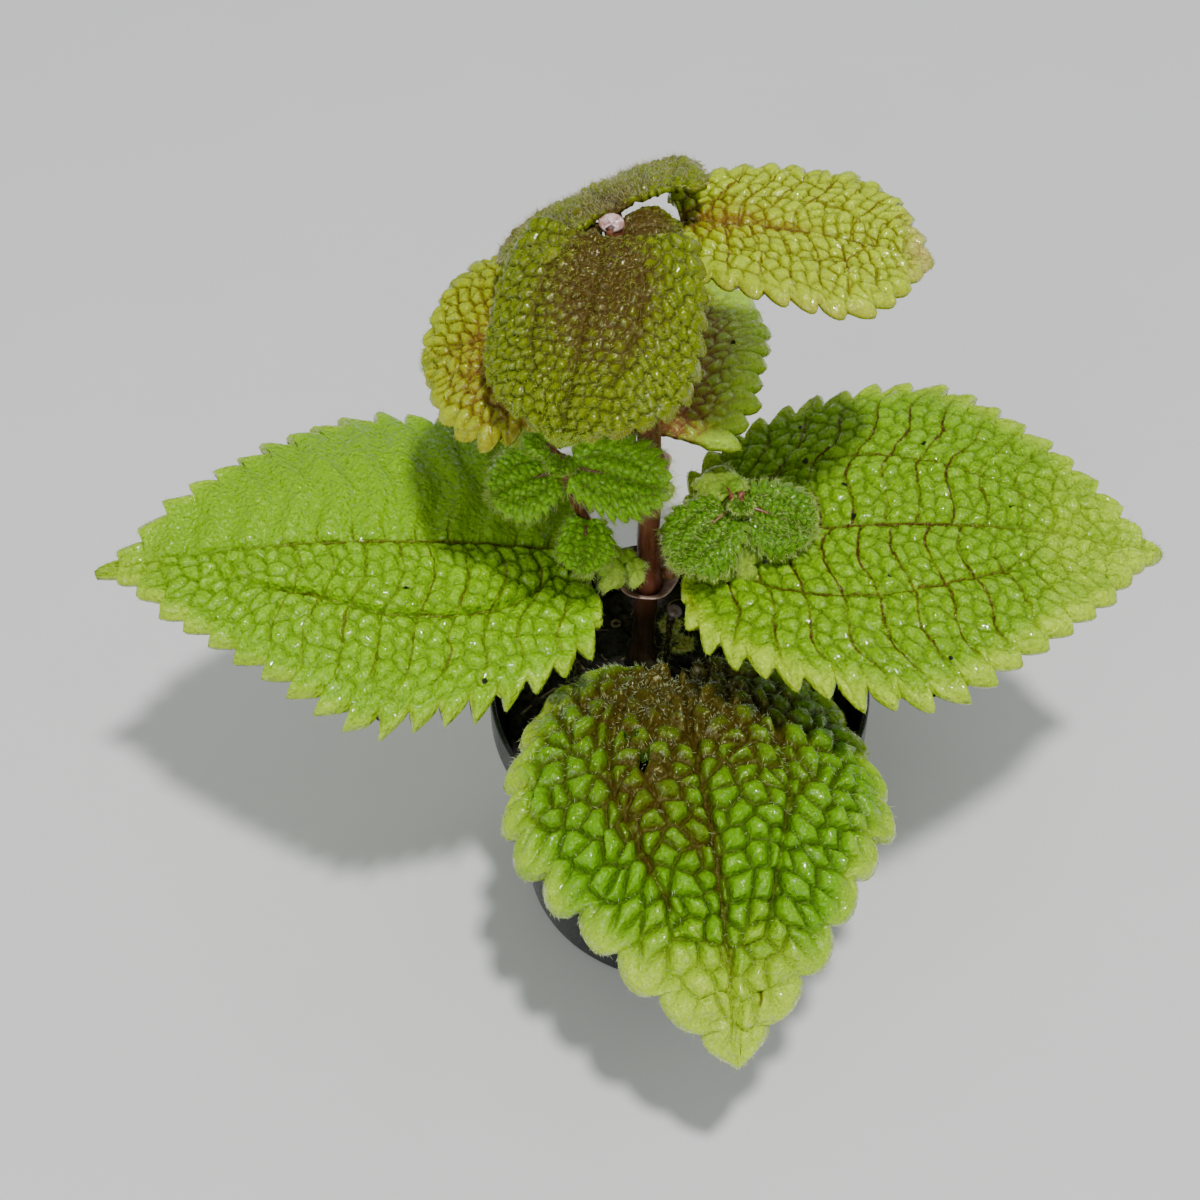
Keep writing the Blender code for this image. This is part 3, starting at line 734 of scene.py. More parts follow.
def blade_relief(leaf, look, u, v, across, half, seed):
    """Height above the smooth blade, the numbers that the skin needs and the smooth share."""
    side_share = SIDE_RIB_SHARE * (1 - np.exp(-u / 0.07)) * (1 - 0.35 * u)
    side_rib = np.abs(across) - side_share * half
    outer = np.maximum(side_rib, 0)
    spacing = look["rung_spacing"]
    lane = leaf["length"] * u - RUNG_SLOPE * outer + 1.1 * np.sin(across * 0.31 + seed)
    lane = lane + 0.35 * np.sign(v) * spacing
    cell_size = spacing / CELLS_PER_RUNG
    border, cell = cells_over(lane / cell_size, across / (cell_size * CELL_STRETCH), seed)
    fine_size = cell_size * 0.36
    fine_border, _ = cells_over(lane / fine_size, across / fine_size, seed + 7)
    ripple_border, _ = cells_over(lane / 1.7, across / 2.9, seed + 9)
    rung_mm = np.abs((lane / spacing + 0.5) % 1.0 - 0.5) * spacing
    smooth_share = look["smooth_side"] * smooth_step(v, -0.08, 0.12)
    tip_share = smooth_step(u, 0.6, 0.8)

    pillow = rounded(border, DOME_REACH)
    bubble = np.sqrt(rounded(border, BUBBLE_REACH))
    dome = pillow * (1 - look["bubble"]) + bubble * look["bubble"]
    strength = look["dome_height"] * (0.65 + 0.7 * cell) * (1 - smooth_share)
    small = look["fine_height"] * rounded(fine_border, DOME_REACH)
    ripple = 0.26 * rounded(ripple_border, DOME_REACH) + 0.75 * np.sin(lane * 0.8 + across * 0.1)
    near_rib = np.exp(-(across / 1.0) ** 2)
    near_side = np.exp(-(side_rib / 0.8) ** 2) * np.clip(u * 8, 0, 1) * (1 - smooth_share) * (1 - tip_share)
    near_rung = np.exp(-(rung_mm / 0.5) ** 2)
    trough = np.clip(near_rib + near_side, 0, 1)
    height = dome * strength + small + ripple * smooth_share - look["rung_depth"] * near_rung
    height = height * (1 - 0.6 * trough)
    height = height - look["rib_depth"] * near_rib - look["side_rib_depth"] * near_side
    fade = np.clip((1 - u) * 10, 0, 1) * np.clip(half - np.abs(across) + 0.6, 0.25, 1.5) / 1.5
    shown = dome * (1 - smooth_share) + 0.75 * smooth_share
    fields = {"side rib": side_rib + 6 * np.maximum(smooth_share, tip_share), "rung": lane / spacing,
              "border": border * cell_size + 5 * smooth_share, "dome": shown * (1 - 0.5 * trough),
              "cell": 0.5 + (cell - 0.5) * (1 - smooth_share)}
    return height * fade, fields, smooth_share


print("side ribs lie at", SIDE_RIB_SHARE, "of the half width")

# %% [markdown]
# ## Teeth and the rows of a blade
# A toothed edge needs rows that are evenly spaced along the edge itself, or the teeth come out
# ragged where the edge turns at the base. Each tooth then pushes the points near it outwards.


# %% Teeth along the edge
def edge_run(u, leaf):
    """How far along the edge each row meets it, as a share, and the edge's direction there."""
    along, across = blade_flat(u, np.ones_like(u), leaf)
    run = np.concatenate([[0], np.cumsum(np.hypot(np.diff(along), np.diff(across)))])
    ahead, aside = np.gradient(along), np.gradient(across)
    size = np.maximum(np.hypot(ahead, aside), 1e-9)
    return run / run[-1], ahead / size, aside / size


def blade_rows(leaf, rows):
    """Shares of the length for the rows, closer together where the edge turns at the base."""
    dense = np.linspace(0, 1, 4001) ** 2
    run, _, _ = edge_run(dense, leaf)
    return np.interp(np.linspace(0, 1, rows + 1), 0.5 * dense + 0.5 * run, dense)


def tooth_cut(leaf, look, run, u, v, half, from_edge, tooth_size):
    """How far the teeth push each point outwards, and how far a tooth has risen there."""
    teeth = leaf["teeth"]
    index = np.clip(np.floor(run * teeth).astype(int), 0, teeth)
    size = np.where(v > 0, tooth_size[1][index], tooth_size[0][index])
    rise = tooth_rise((run * teeth) % 1.0, look["tooth_round"])
    share = half / (leaf["width"] / 2)
    depth = leaf["tooth"] * look["tooth_depth"] * (0.45 + 0.55 * share) * size
    inner = np.exp(-(from_edge / (leaf["tooth"] * 1.1)) ** 1.4)
    cut = depth * (rise - 0.3) * inner * np.clip((1 - u) * 12, 0, 1) * np.clip(u * 60, 0, 1)
    return cut, rise


print("rows follow the edge")

# %% [markdown]
# ## One whole blade
# The grid is put together here: flat outline, teeth, relief, slow waves, then the bend in space.
# The same points carry the numbers that the shader reads, such as the distance to each rib.


# %% Points, triangles and stored numbers of a blade
def grid_faces(number):
    """Two triangles for each cell of a grid of point numbers."""
    a, b, c, d = number[:-1, :-1], number[:-1, 1:], number[1:, 1:], number[1:, :-1]
    return np.concatenate([np.stack([a, b, c], -1).reshape(-1, 3), np.stack([a, c, d], -1).reshape(-1, 3)])


def grid_loop(number):
    """The point numbers round the edge of a grid, in order."""
    return np.concatenate([number[0, :-1], number[:-1, -1], number[-1, :0:-1], number[:0:-1, 0]])


def blade_faces(rows, columns):
    """Triangles of the fine upper face, of the coarser under face and of the strip at the edge."""
    high = np.arange((rows + 1) * (columns + 1)).reshape(rows + 1, columns + 1)
    low_shape = (rows // 2 + 1, columns // 2 + 1)
    low = high.size + np.arange(low_shape[0] * low_shape[1]).reshape(low_shape)
    high_loop, low_loop = grid_loop(high), grid_loop(low)
    first, second, third = high_loop[0::2], high_loop[1::2], np.roll(high_loop[0::2], -1)
    low_next = np.roll(low_loop, -1)
    strip = [np.stack(corners, -1) for corners in
             ((first, low_loop, second), (second, low_loop, low_next), (second, low_next, third))]
    return np.vstack([grid_faces(high), grid_faces(low)[:, (0, 2, 1)], *strip])


def slow_waves(leaf, look, u, v, from_edge, rise, seed):
    """Slow waves and folds of the whole blade, the curl of its edge and the bulge of its teeth."""
    bulge = 0.45 * leaf["tooth"] / 3 * rise * np.exp(-((from_edge - 1.5) / 1.5) ** 2)
    wave = look["wave"] * np.sin(u * 9 + v * 2.1 + seed) * np.abs(v) ** 2
    fold = look["fold_wave"] * np.sin(u * 7.0 + seed) * np.exp(-((np.abs(v) - 0.5) / 0.25) ** 2)
    curl = -0.6 * np.exp(-(from_edge / 0.9) ** 2)
    return wave + curl + bulge + fold


def edge_fields(look, u, v, across, from_edge, smooth_share):
    """Stored numbers for the midrib, the pale edge and tip, the brown rim and the veins' reach."""
    pale = look["pale_edge"] * np.exp(-(from_edge / look["pale_width"]) ** 2)
    pale = np.maximum(pale, look["pale_tip"] * smooth_step(u, look["pale_tip_from"], 1.0))
    end = look["vein_reach"]
    reach = 1 - 0.85 * smooth_step(u, end - 0.25, end + 0.1)
    reach = reach * (1 - 0.8 * smooth_step(np.abs(v), 0.72, 0.95))
    reach = reach * (1 - smooth_share * (1 - np.exp(-(across / 5.0) ** 2)))
    return {"rib": across, "pale": pale, "rim": np.exp(-(from_edge / 0.45) ** 2), "vein reach": reach}


def blade_arrays(leaf, look, rows_per_tooth, columns, seed):
    """Points, triangles and stored numbers of one detailed blade, and what its hairs need."""
    rng = np.random.default_rng(seed)
    rows = leaf["teeth"] * rows_per_tooth
    rows += rows % 2
    row_shares = blade_rows(leaf, rows)
    u, v = np.meshgrid(row_shares, np.linspace(-1, 1, columns + 1), indexing="ij")
    run, ahead, aside = [np.repeat(a[:, None], columns + 1, axis=1) for a in edge_run(row_shares, leaf)]
    pinch = 1 - look["tip_pinch"] * smooth_step(u, 0.8, 0.97)
    along, across = blade_flat(u, v, leaf)
    across = across * pinch
    half = blade_half_width(u, leaf) * pinch
    from_edge = half - np.abs(across)
    tooth_size = rng.uniform(0.8, 1.25, (2, leaf["teeth"] + 1))
    cut, rise = tooth_cut(leaf, look, run, u, v, half, from_edge, tooth_size)
    lean = np.maximum(cut, 0) * look["tooth_lean"]
    edge_along = along - cut * aside + lean * ahead
    edge_across = across + np.sign(v) * (cut * ahead + lean * aside) * np.clip(half / 2.0, 0.3, 1)

    height, fields, smooth_share = blade_relief(leaf, look, u, v, across, half, seed)
    margin = look["tooth_dome"] * np.exp(-(from_edge / (leaf["tooth"] * 1.3)) ** 2)
    puff = leaf["tooth"] * 0.4 * np.sqrt(rise) * np.clip(from_edge / 1.2, 0, 1)
    height = height * (1 - margin) + puff * margin
    fields["dome"] = fields["dome"] * (1 - margin) + (0.05 + 0.95 * np.sqrt(rise)) * margin
    lift = slow_waves(leaf, look, u, v, from_edge, rise, seed)
    top = blade_in_space(edge_along, edge_across, height + lift, leaf)
    under = blade_in_space(edge_along, edge_across, height * 0.8 + lift - BLADE_THICKNESS, leaf)
    points = np.vstack([top.reshape(-1, 3), under[::2, ::2].reshape(-1, 3)])

    fields.update(edge_fields(look, u, v, across, from_edge, smooth_share))
    fields["flush"] = flush_field(leaf, look, u, v, across, fields["side rib"])
    stored = {k: np.concatenate([f.ravel(), f[::2, ::2].ravel()]) for k, f in fields.items()}
    shape = {"top": top, "dome": fields["dome"], "u": u, "v": v}
    return points, blade_faces(rows, columns), stored, shape


print("a blade's under face has half its rows and columns")

# %% [markdown]
# ## Hairs
# Every green part of the plant is set with short clear hairs. Each is a slim spike on a three-sided
# foot, sunk a little into the skin and leaning towards the leaf's tip. Real hair curves would look
# the same from here but can't be handed on as a mesh.

# %% Hairs as slim spikes
HAIR_SINK = 0.15
TRIES_PER_HAIR = 4


def grid_normals(top):
    """Directions out of the upper face and along it towards the tip."""
    by_row = np.gradient(top, axis=0)
    by_column = np.gradient(top, axis=1)
    found = np.cross(by_column, by_row)
    found /= np.maximum(np.linalg.norm(found, axis=-1, keepdims=True), 1e-9)
    return found, by_row / np.maximum(np.linalg.norm(by_row, axis=-1, keepdims=True), 1e-9)


def spikes(roots, directions, lengths, radius, rng):
    """Points and triangles of closed slim spikes."""
    count = len(roots)
    directions = directions / np.linalg.norm(directions, axis=1, keepdims=True)
    helper = rng.normal(size=(count, 3))
    side = np.cross(directions, helper)
    side /= np.linalg.norm(side, axis=1, keepdims=True)
    other = np.cross(directions, side)
    foot = roots - directions * HAIR_SINK
    corners = [foot + (side * math.cos(t) + other * math.sin(t)) * radius
               for t in (0.0, 2 * math.pi / 3, 4 * math.pi / 3)]
    tips = roots + directions * lengths[:, None]
    points = np.stack([*corners, tips], axis=1).reshape(-1, 3)
    start = np.arange(count)[:, None] * 4
    faces = np.concatenate([start + np.array(f) for f in ((0, 1, 3), (1, 2, 3), (2, 0, 3), (0, 2, 1))])
    return points, faces


def face_hairs(shape, hairs, normals, forward, rng):
    """Roots, directions and lengths of the hairs on the upper face, most of them on the domes."""
    rows, columns = shape["dome"].shape
    i = rng.integers(1, rows - 1, hairs["count"] * TRIES_PER_HAIR)
    j = rng.integers(1, columns - 1, hairs["count"] * TRIES_PER_HAIR)
    liking = 0.15 + shape["dome"][i, j] * 0.85
    liking = liking * (1 - hairs["base_bias"] * smooth_step(shape["u"][i, j], 0.1, 0.5))
    if hairs["one_side"] != 0:
        liking = liking * (0.12 + 0.88 * smooth_step(shape["v"][i, j] * hairs["one_side"], -0.15, 0.15))
    keep = rng.uniform(size=len(i)) < liking
    i, j = i[keep][:hairs["count"]], j[keep][:hairs["count"]]
    loose = rng.normal(scale=hairs["loose"], size=(len(i), 3))
    outward_sign = np.sign(shape["v"][i, j])[:, None]
    sideways = np.cross(forward, normals)
    directions = normals[i, j] + forward[i, j] * hairs["lean"] + loose
    directions = directions + sideways[i, j] * outward_sign * hairs["side_lean"]
    return shape["top"][i, j], directions, hairs["length"] * rng.uniform(0.5, 1.3, len(i))


def edge_hairs(shape, hairs, forward, rng):
    """Roots, directions and lengths of the hairs that stand out from the edge."""
    rows, columns = shape["dome"].shape
    row = rng.integers(1, rows - 1, hairs["edge"])
    side = rng.integers(0, 2, hairs["edge"]) * (columns - 1)
    roots = shape["top"][row, side]
    outward = roots - shape["top"][row, np.where(side > 0, columns - 3, 2)]
    outward /= np.maximum(np.linalg.norm(outward, axis=1, keepdims=True), 1e-9)
    directions = outward + forward[row, side] * 0.5 + rng.normal(scale=0.3, size=(len(row), 3))
    return roots, directions, hairs["length"] * rng.uniform(0.5, 1.1, len(row))


def blade_hairs(shape, hairs, seed):
    """Spikes over a blade's upper face and along its edge."""
    rng = np.random.default_rng(seed)
    normals, forward = grid_normals(shape["top"])
    normals *= np.sign(normals[normals.shape[0] // 2, normals.shape[1] // 2, 2] + 1e-9)
    on_face = face_hairs(shape, hairs, normals, forward, rng)
    on_edge = edge_hairs(shape, hairs, forward, rng)
    roots, directions, lengths = [np.concatenate(pair) for pair in zip(on_face, on_edge)]
    return spikes(roots, directions, lengths, hairs["radius"], rng)


def hair_material(name, colour):
    material, tree, shader = new_material(name, 0.35)
    place = place_of(tree)
    worn = ramp_between(tree, noise(tree, place, 500.0, 2.0), 0.3, 0.7)
    shade = blend_colours(tree, worn, (*[c * 0.75 for c in colour], 1.0), (*colour, 1.0))
    wire(tree, shade, shader.inputs["Base Color"])
    set_sockets(shader, subsurface_weight=0.3, subsurface_scale=0.0005)
    return material


clear_hair = hair_material("clear hair", (0.74, 0.82, 0.42))
green_hair = hair_material("green hair", (0.46, 0.66, 0.05))
shoot_hair = hair_material("shoot hair", (0.56, 0.72, 0.16))
brown_hair = hair_material("straw hair", (0.50, 0.46, 0.16))
print("four colours of hair made ready")

# %% [markdown]
# ## Looks of the leaves
# The old leaves low on the stem are large and bright. The young ones at the top are small, olive
# and flushed with brown, with finer domes and denser hairs. Each leaf gets its own few values.


# %% Values for a leaf's look
def leaf_look(**more):
    """Relief, teeth and colour reach of a leaf, with a middling value for each."""
    look = {"rung_spacing": 6.6, "bubble": 0.5, "dome_height": 0.9, "fine_height": 0.12,
            "rung_depth": 0.3, "rib_depth": 0.6, "side_rib_depth": 0.6, "smooth_side": 0.0,
            "wave": 0.6, "fold_wave": 0.0, "tip_pinch": 0.2,
            "tooth_round": 0.5, "tooth_depth": 1.25, "tooth_lean": 0.6, "tooth_dome": 0.6,
            "pale_edge": 0.8, "pale_width": 3.5, "pale_tip_from": 0.6, "pale_tip": 0.6,
            "vein_reach": 0.75, "flush_spots": [], "flush_ribs": (0.0, 0.6, 0.0)}
    look.update(more)
    return look


def hair_look(count, length, radius=0.05, edge=300, lean=0.5, side_lean=0.0, loose=0.35, base_bias=0.0,
              one_side=0):
    """How many hairs a leaf has, how long and thick they are and which way they lean."""
    return {"count": count, "length": length, "radius": radius, "edge": edge, "lean": lean,
            "side_lean": side_lean, "loose": loose, "base_bias": base_bias, "one_side": one_side}


print("a leaf's look has", len(leaf_look()), "values")

# %% [markdown]
# ## Torn holes
# Two of the old leaves have small torn holes. A hole is cut with a short ragged prism, because a
# transparent patch would have no thickness at its edge.

# %% Cut with plugs
PLUG_SIDES = 14
PLUG_REACH = 5


def bake_modifiers(thing):
    graph = bpy.context.evaluated_depsgraph_get()
    mesh = bpy.data.meshes.new_from_object(thing.evaluated_get(graph))
    thing.modifiers.clear()
    thing.data = mesh


def cut_with(thing, cutters):
    """Cuts the cutters out of a closed mesh and removes them."""
    for cutter in cutters:
        cut = thing.modifiers.new("cut", "BOOLEAN")
        cut.operation = "DIFFERENCE"
        cut.object = cutter
        cut.solver = "MANIFOLD"
        bake_modifiers(thing)
        bpy.data.objects.remove(cutter, do_unlink=True)


def ragged_plug(shape, u, v, size, seed):
    """A short prism with a torn outline through the blade at one place, to cut a hole with."""
    rng = np.random.default_rng(seed)
    i = int(np.searchsorted(shape["u"][:, 0], u))
    j = int(np.searchsorted(shape["v"][0], v))
    normals, forward = grid_normals(shape["top"])
    up, ahead = normals[i, j], forward[i, j]
    aside = np.cross(up, ahead)
    turn = np.linspace(0, 2 * math.pi, PLUG_SIDES, endpoint=False)
    far = size * rng.uniform(0.55, 1.1, PLUG_SIDES)
    long, short = np.cos(turn) * far, np.sin(turn) * far * 0.6
    ring = shape["top"][i, j] + np.outer(long, ahead) + np.outer(short, aside)
    points = np.vstack([ring - up * PLUG_REACH, ring + up * PLUG_REACH])
    faces = [tuple(range(PLUG_SIDES - 1, -1, -1)), tuple(range(PLUG_SIDES, 2 * PLUG_SIDES))]
    for k in range(PLUG_SIDES):
        n = (k + 1) % PLUG_SIDES
        faces.append((k, n, PLUG_SIDES + n, PLUG_SIDES + k))
    mesh = bpy.data.meshes.new("plug")
    mesh.from_pydata((points * MM).tolist(), [], faces)
    plug = bpy.data.objects.new("plug", mesh)
    bpy.context.scene.collection.objects.link(plug)
    face_outward(plug)
    return plug


print("a torn outline has", PLUG_SIDES, "corners")

# %% [markdown]
# ## A large leaf
# Blade and hairs are two pieces, so that each keeps a material of its own. The blade stands for
# the plain leaf. The two ride together, because both are on the same body.


# %% Make a large leaf
def detailed_leaf(name, leaf, look, hairs, material, hair, rows_per_tooth, columns, seed, holes=()):
    """One large leaf: its blade stands for the plain leaf, its hairs are a piece of their own."""
    points, faces, stored, shape = blade_arrays(leaf, look, rows_per_tooth, columns, seed)
    blade = mesh_piece(name + "_blade", points, faces, material, stored)
    face_outward(blade)
    cut_with(blade, [ragged_plug(shape, u, v, size, seed + k) for k, (u, v, size) in enumerate(holes)])
    dress(blade, name)
    hair_points, hair_faces = blade_hairs(shape, hairs, seed + 1)
    fuzz = mesh_piece(name + "_hairs", hair_points, hair_faces, hair)
    dress(fuzz, None)
    print(name, "has", len(faces), "triangles and", len(hair_faces) // 4, "hairs")


print("large leaves ready to be made")

# %% [markdown]
# ### Front leaf
# The oldest leaf hangs over the rim. Its domes are the tallest of all, like a heap of beads, brown
# at the base and pale yellow-green towards the tip.

# %% Make the front leaf
front_green = leaf_material(
    "front leaf green",
    [(0.030, 0.080, 0.001), (0.15, 0.39, 0.001), (0.48, 0.68, 0.03), (0.070, 0.050, 0.004),
     (0.09, 0.05, 0.006)],
    vein_strength=0.6, rungs=0.15, net=0.1, rung_spacing=8.6, vein_width=0.26, specks=0.12, bump=0.0004)
front_leaf = leaf_shape((-1, -1.5, 65), -82, 87, 74, 28, -57, roll=2, droop=-32, widest=0.35,
                        base_share=0.25, taper=1.2, teeth=11)
front_hairs = hair_look(2000, 1.2, 0.07, lean=0.9, base_bias=0.85)
front_look = leaf_look(rung_spacing=8.6, dome_height=2.7, bubble=0.4, rib_depth=0.9, side_rib_depth=0.9,
                       fine_height=0.2, tooth_round=1.0, tooth_depth=1.6, tip_pinch=0.1,
                       tooth_dome=0.95, tooth_lean=0.3, pale_edge=0.65, pale_width=5.5, pale_tip_from=0.45,
                       pale_tip=1.0, vein_reach=0.9,
                       flush_spots=[(0.04, 0.0, 30.0, 34.0, 1.2), (0.32, 0.30, 18.0, 13.0, 0.85),
                                    (0.50, 0.10, 12.0, 7.0, 0.6), (0.33, 0.25, 5.0, 4.0, 1.3),
                                    (0.84, -0.44, 1.5, 1.3, 1.0), (0.95, -0.1, 1.2, 1.0, 0.9)],
                       flush_ribs=(0.55, 0.8, 0.5))
detailed_leaf("leaf_front", front_leaf, front_look, front_hairs, front_green, clear_hair, 20, 160, 11,
              holes=[(0.29, 0.27, 2.0), (0.22, 0.36, 1.0)])

# %% [markdown]
# ### Left leaf
# This leaf is a clear bright green. Its far half is nearly smooth and set with hairs, its near
# half is domed.

# %% Make the left leaf
left_green = leaf_material(
    "left leaf green",
    [(0.13, 0.29, 0.001), (0.24, 0.51, 0.001), (0.44, 0.66, 0.02), (0.16, 0.13, 0.01), (0.10, 0.06, 0.004)],
    vein_strength=0.85, rungs=1.0, net=0.0, rung_spacing=7.0, vein_width=0.36, specks=0.15, bump=0.0006)
left_leaf = leaf_shape((-21, 13, 87), 184, 94, 76, 15, -13, roll=4, droop=-31, taper=1.2, teeth=20)
left_look = leaf_look(rung_spacing=6.4, dome_height=1.3, bubble=0.6, smooth_side=0.9, fine_height=0.25,
                      rung_depth=0.2, side_rib_depth=1.7, fold_wave=0.8, tooth_round=0.3,
                      tooth_depth=1.75, tip_pinch=0.6, pale_edge=0.75, pale_width=2.6, pale_tip_from=0.72,
                      pale_tip=0.7, vein_reach=0.7)
detailed_leaf("leaf_left", left_leaf, left_look,
              hair_look(1300, 1.2, 0.045, lean=0.3, side_lean=1.0, loose=0.3, one_side=1),
              left_green, green_hair, 12, 160, 23)

# %% [markdown]
# ### Right leaf
# A net of thin brown veins is drawn sharp over this leaf, and its edge and tip are yellow-green.

# %% Make the right leaf
right_green = leaf_material(
    "right leaf green",
    [(0.12, 0.27, 0.001), (0.21, 0.44, 0.001), (0.50, 0.72, 0.02), (0.16, 0.13, 0.01), (0.085, 0.032, 0.004)],
    vein_strength=1.0, rungs=1.2, net=0.15, rung_spacing=6.4, vein_width=0.36, specks=0.35, bump=0.0006)
right_leaf = leaf_shape((5, 13, 89), -2, 90, 78, 20, -19, roll=-1, droop=-18, taper=1.45, base_share=0.2,
                        teeth=20)
right_look = leaf_look(rung_spacing=6.4, dome_height=0.85, bubble=0.2, fine_height=0.26, tooth_round=0.6,
                       tooth_depth=1.7, tip_pinch=0.3, pale_edge=0.75, pale_width=4.5, pale_tip_from=0.5,
                       pale_tip=0.85, vein_reach=0.72)
detailed_leaf("leaf_right", right_leaf, right_look, hair_look(2200, 1.0, lean=0.8), right_green, green_hair,
              12, 150, 37)

# %% [markdown]
# ### Back leaf
# Behind the crown lies a middle-sized leaf, flushed brown round its stalk and bright at its edge.

# %% Make the back leaf
back_green = leaf_material(
    "back leaf green",
    [(0.13, 0.17, 0.004), (0.28, 0.46, 0.010), (0.42, 0.68, 0.03), (0.24, 0.09, 0.03), (0.12, 0.04, 0.012)],
    vein_strength=0.5, rungs=0.3, net=0.1, rung_spacing=5.0, specks=0.03)
back_leaf = leaf_shape((-11.5, 18, 115), 90, 72, 53, 4, -28, roll=4, base_share=0.6, taper=1.6,
                       widest=0.42, lobe=3, teeth=15)
back_look = leaf_look(rung_spacing=5.0, dome_height=0.8, tooth_round=0.95, tooth_depth=1.7, tooth_dome=0.9,
                      tooth_lean=0.3, pale_edge=1.0, pale_width=7.0, pale_tip=0.6,
                      flush_spots=[(0.1, 0.0, 42.0, 21.0, 1.3)], flush_ribs=(0.6, 0.7, 0.4))
detailed_leaf("leaf_back", back_leaf, back_look, hair_look(1800, 1.1, 0.045), back_green, green_hair, 12, 120,
              41, holes=[(0.30, 0.80, 0.8)])

# %% [markdown]
# ### Upper pair
# The second pair from the top is yellow-olive, with round domes between thin brown creases.

# %% Make the upper leaves
upper_right_olive = leaf_material(
    "upper right leaf olive",
    [(0.19, 0.23, 0.002), (0.45, 0.58, 0.01), (0.60, 0.44, 0.16), (0.22, 0.12, 0.01), (0.12, 0.05, 0.006)],
    vein_strength=0.9, rungs=1.1, net=0.7, rung_spacing=4.8, vein_width=0.28)
upper_left_olive = leaf_material(
    "upper left leaf olive",
    [(0.12, 0.12, 0.001), (0.37, 0.45, 0.004), (0.50, 0.56, 0.03), (0.20, 0.08, 0.015), (0.12, 0.05, 0.006)],
    vein_strength=0.85, rungs=0.9, net=0.6, rung_spacing=4.8, vein_width=0.28)
upper_left_leaf = leaf_shape((-17, 13, 150), 182, 33, 41, -7, -32, roll=5, droop=-20, base_share=0.4,
                             widest=0.5, taper=2.0, lobe=3, teeth=12, tooth=1.8, stalk=1.0)
upper_right_leaf = leaf_shape((-2, 23, 163), -8, 45, 38, 5, -15, roll=5, droop=-8, widest=0.54,
                              taper=1.7, lobe=3, teeth=13, tooth=1.8, stalk=1.0)
upper_look = leaf_look(rung_spacing=4.8, dome_height=0.95, bubble=0.4, rung_depth=0.2, rib_depth=0.4,
                       side_rib_depth=0.3, tooth_round=0.9, tooth_depth=1.8, pale_edge=0.35, pale_width=1.6,
                       pale_tip_from=0.72, pale_tip=0.75, wave=0.4, vein_reach=0.95,
                       flush_spots=[(0.1, 0.0, 14.0, 8.0, 0.7)], flush_ribs=(0.6, 0.6, 0.0))
upper_left_look = dict(upper_look, flush_spots=[(0.1, -0.4, 20.0, 18.0, 1.1)], pale_tip=0.3)
detailed_leaf("leaf_upper_left", upper_left_leaf, upper_left_look, hair_look(1500, 0.9), upper_left_olive,
              green_hair, 12, 100, 53)
detailed_leaf("leaf_upper_right", upper_right_leaf, upper_look, hair_look(1200, 0.7), upper_right_olive,
              green_hair, 12, 100, 59)

# %% [markdown]
# ### Crown pair
# The youngest open leaves are covered with small hairy bumps and flushed purple-brown at the heart.

# %% Make the crown leaves
crown_olive = leaf_material(
    "crown leaf olive",
    [(0.030, 0.036, 0.001), (0.16, 0.215, 0.001), (0.22, 0.20, 0.01), (0.075, 0.043, 0.007),
     (0.06, 0.03, 0.004)],
    vein_strength=0.3, rungs=0.15, net=0.15, rung_spacing=3.7, vein_width=0.2)
crown_front_leaf = leaf_shape((-15, 8, 172.5), -106, 36, 41, -28, -50, roll=-9, droop=-40, base_share=0.62,
                              widest=0.42, taper=2.2, lobe=3, teeth=12, tooth=1.2, stalk=0.9)
crown_back_leaf = leaf_shape((-13, 15.0, 172.5), 110, 34.0, 38, -24, -54, roll=13, droop=-15, fold=2.0,
                             base_share=0.65, widest=0.42, taper=1.8, lobe=3, teeth=12, tooth=1.2, stalk=0.9)
crown_look = leaf_look(rung_spacing=3.9, dome_height=1.0, bubble=0.7, rung_depth=0.1, rib_depth=0.3,
                       side_rib_depth=0.2, fine_height=0.18, tooth_round=0.8, tooth_depth=1.6, pale_edge=0.5,
                       pale_width=1.2, pale_tip_from=0.9, pale_tip=0.2, wave=0.3, vein_reach=0.9,
                       flush_spots=[(0.2, -0.05, 16.0, 13.0, 1.1)], flush_ribs=(0.3, 0.9, 0.0))
crown_back_look = dict(crown_look, flush_spots=[(0.1, 0.0, 10.0, 10.0, 0.8), (0.6, 0.9, 12.0, 4.0, 0.8),
                                                (0.6, -0.9, 12.0, 4.0, 0.9)])
detailed_leaf("leaf_crown_front", crown_front_leaf, crown_look, hair_look(2800, 0.85, 0.045, 700),
              crown_olive, green_hair, 12, 110, 67)
detailed_leaf("leaf_crown_back", crown_back_leaf, crown_back_look, hair_look(4200, 1.3, 0.045, 700),
              crown_olive, brown_hair, 12, 110, 71)

# %% [markdown]
# ## Stem
# One fleshy stem leans from the soil to the crown. It swells where leaves grow from it. It is a
# tube whose radius changes with height, red-brown above and nearly black low down, partly its own
# dark colour and partly painted shade.

# %% Stem numbers
STEM_RADIUS = 2.35
STEM_FOOT_Z = 30.0
STEM_TOP_Z = 172.0
NODE_HEIGHTS = (57.0, 81.0, 114.0, 155.0)
NODE_SWELL = 0.8
GAP = 0.35
STEM_SIDES = 28
STEM_HAIRS = 700


def stem_axis(z):
    heights = (STEM_FOOT_Z, 52.0, 81.0, 117.0, 135.0, 155.0, 172.0)
    x = np.interp(z, heights, (-7.6, -7.6, -6.4, -6.7, -7.5, -10.5, -13.8))
    y = np.interp(z, heights, (11.7, 11.7, 11.7, 11.7, 11.7, 11.9, 11.6))
    return x, y


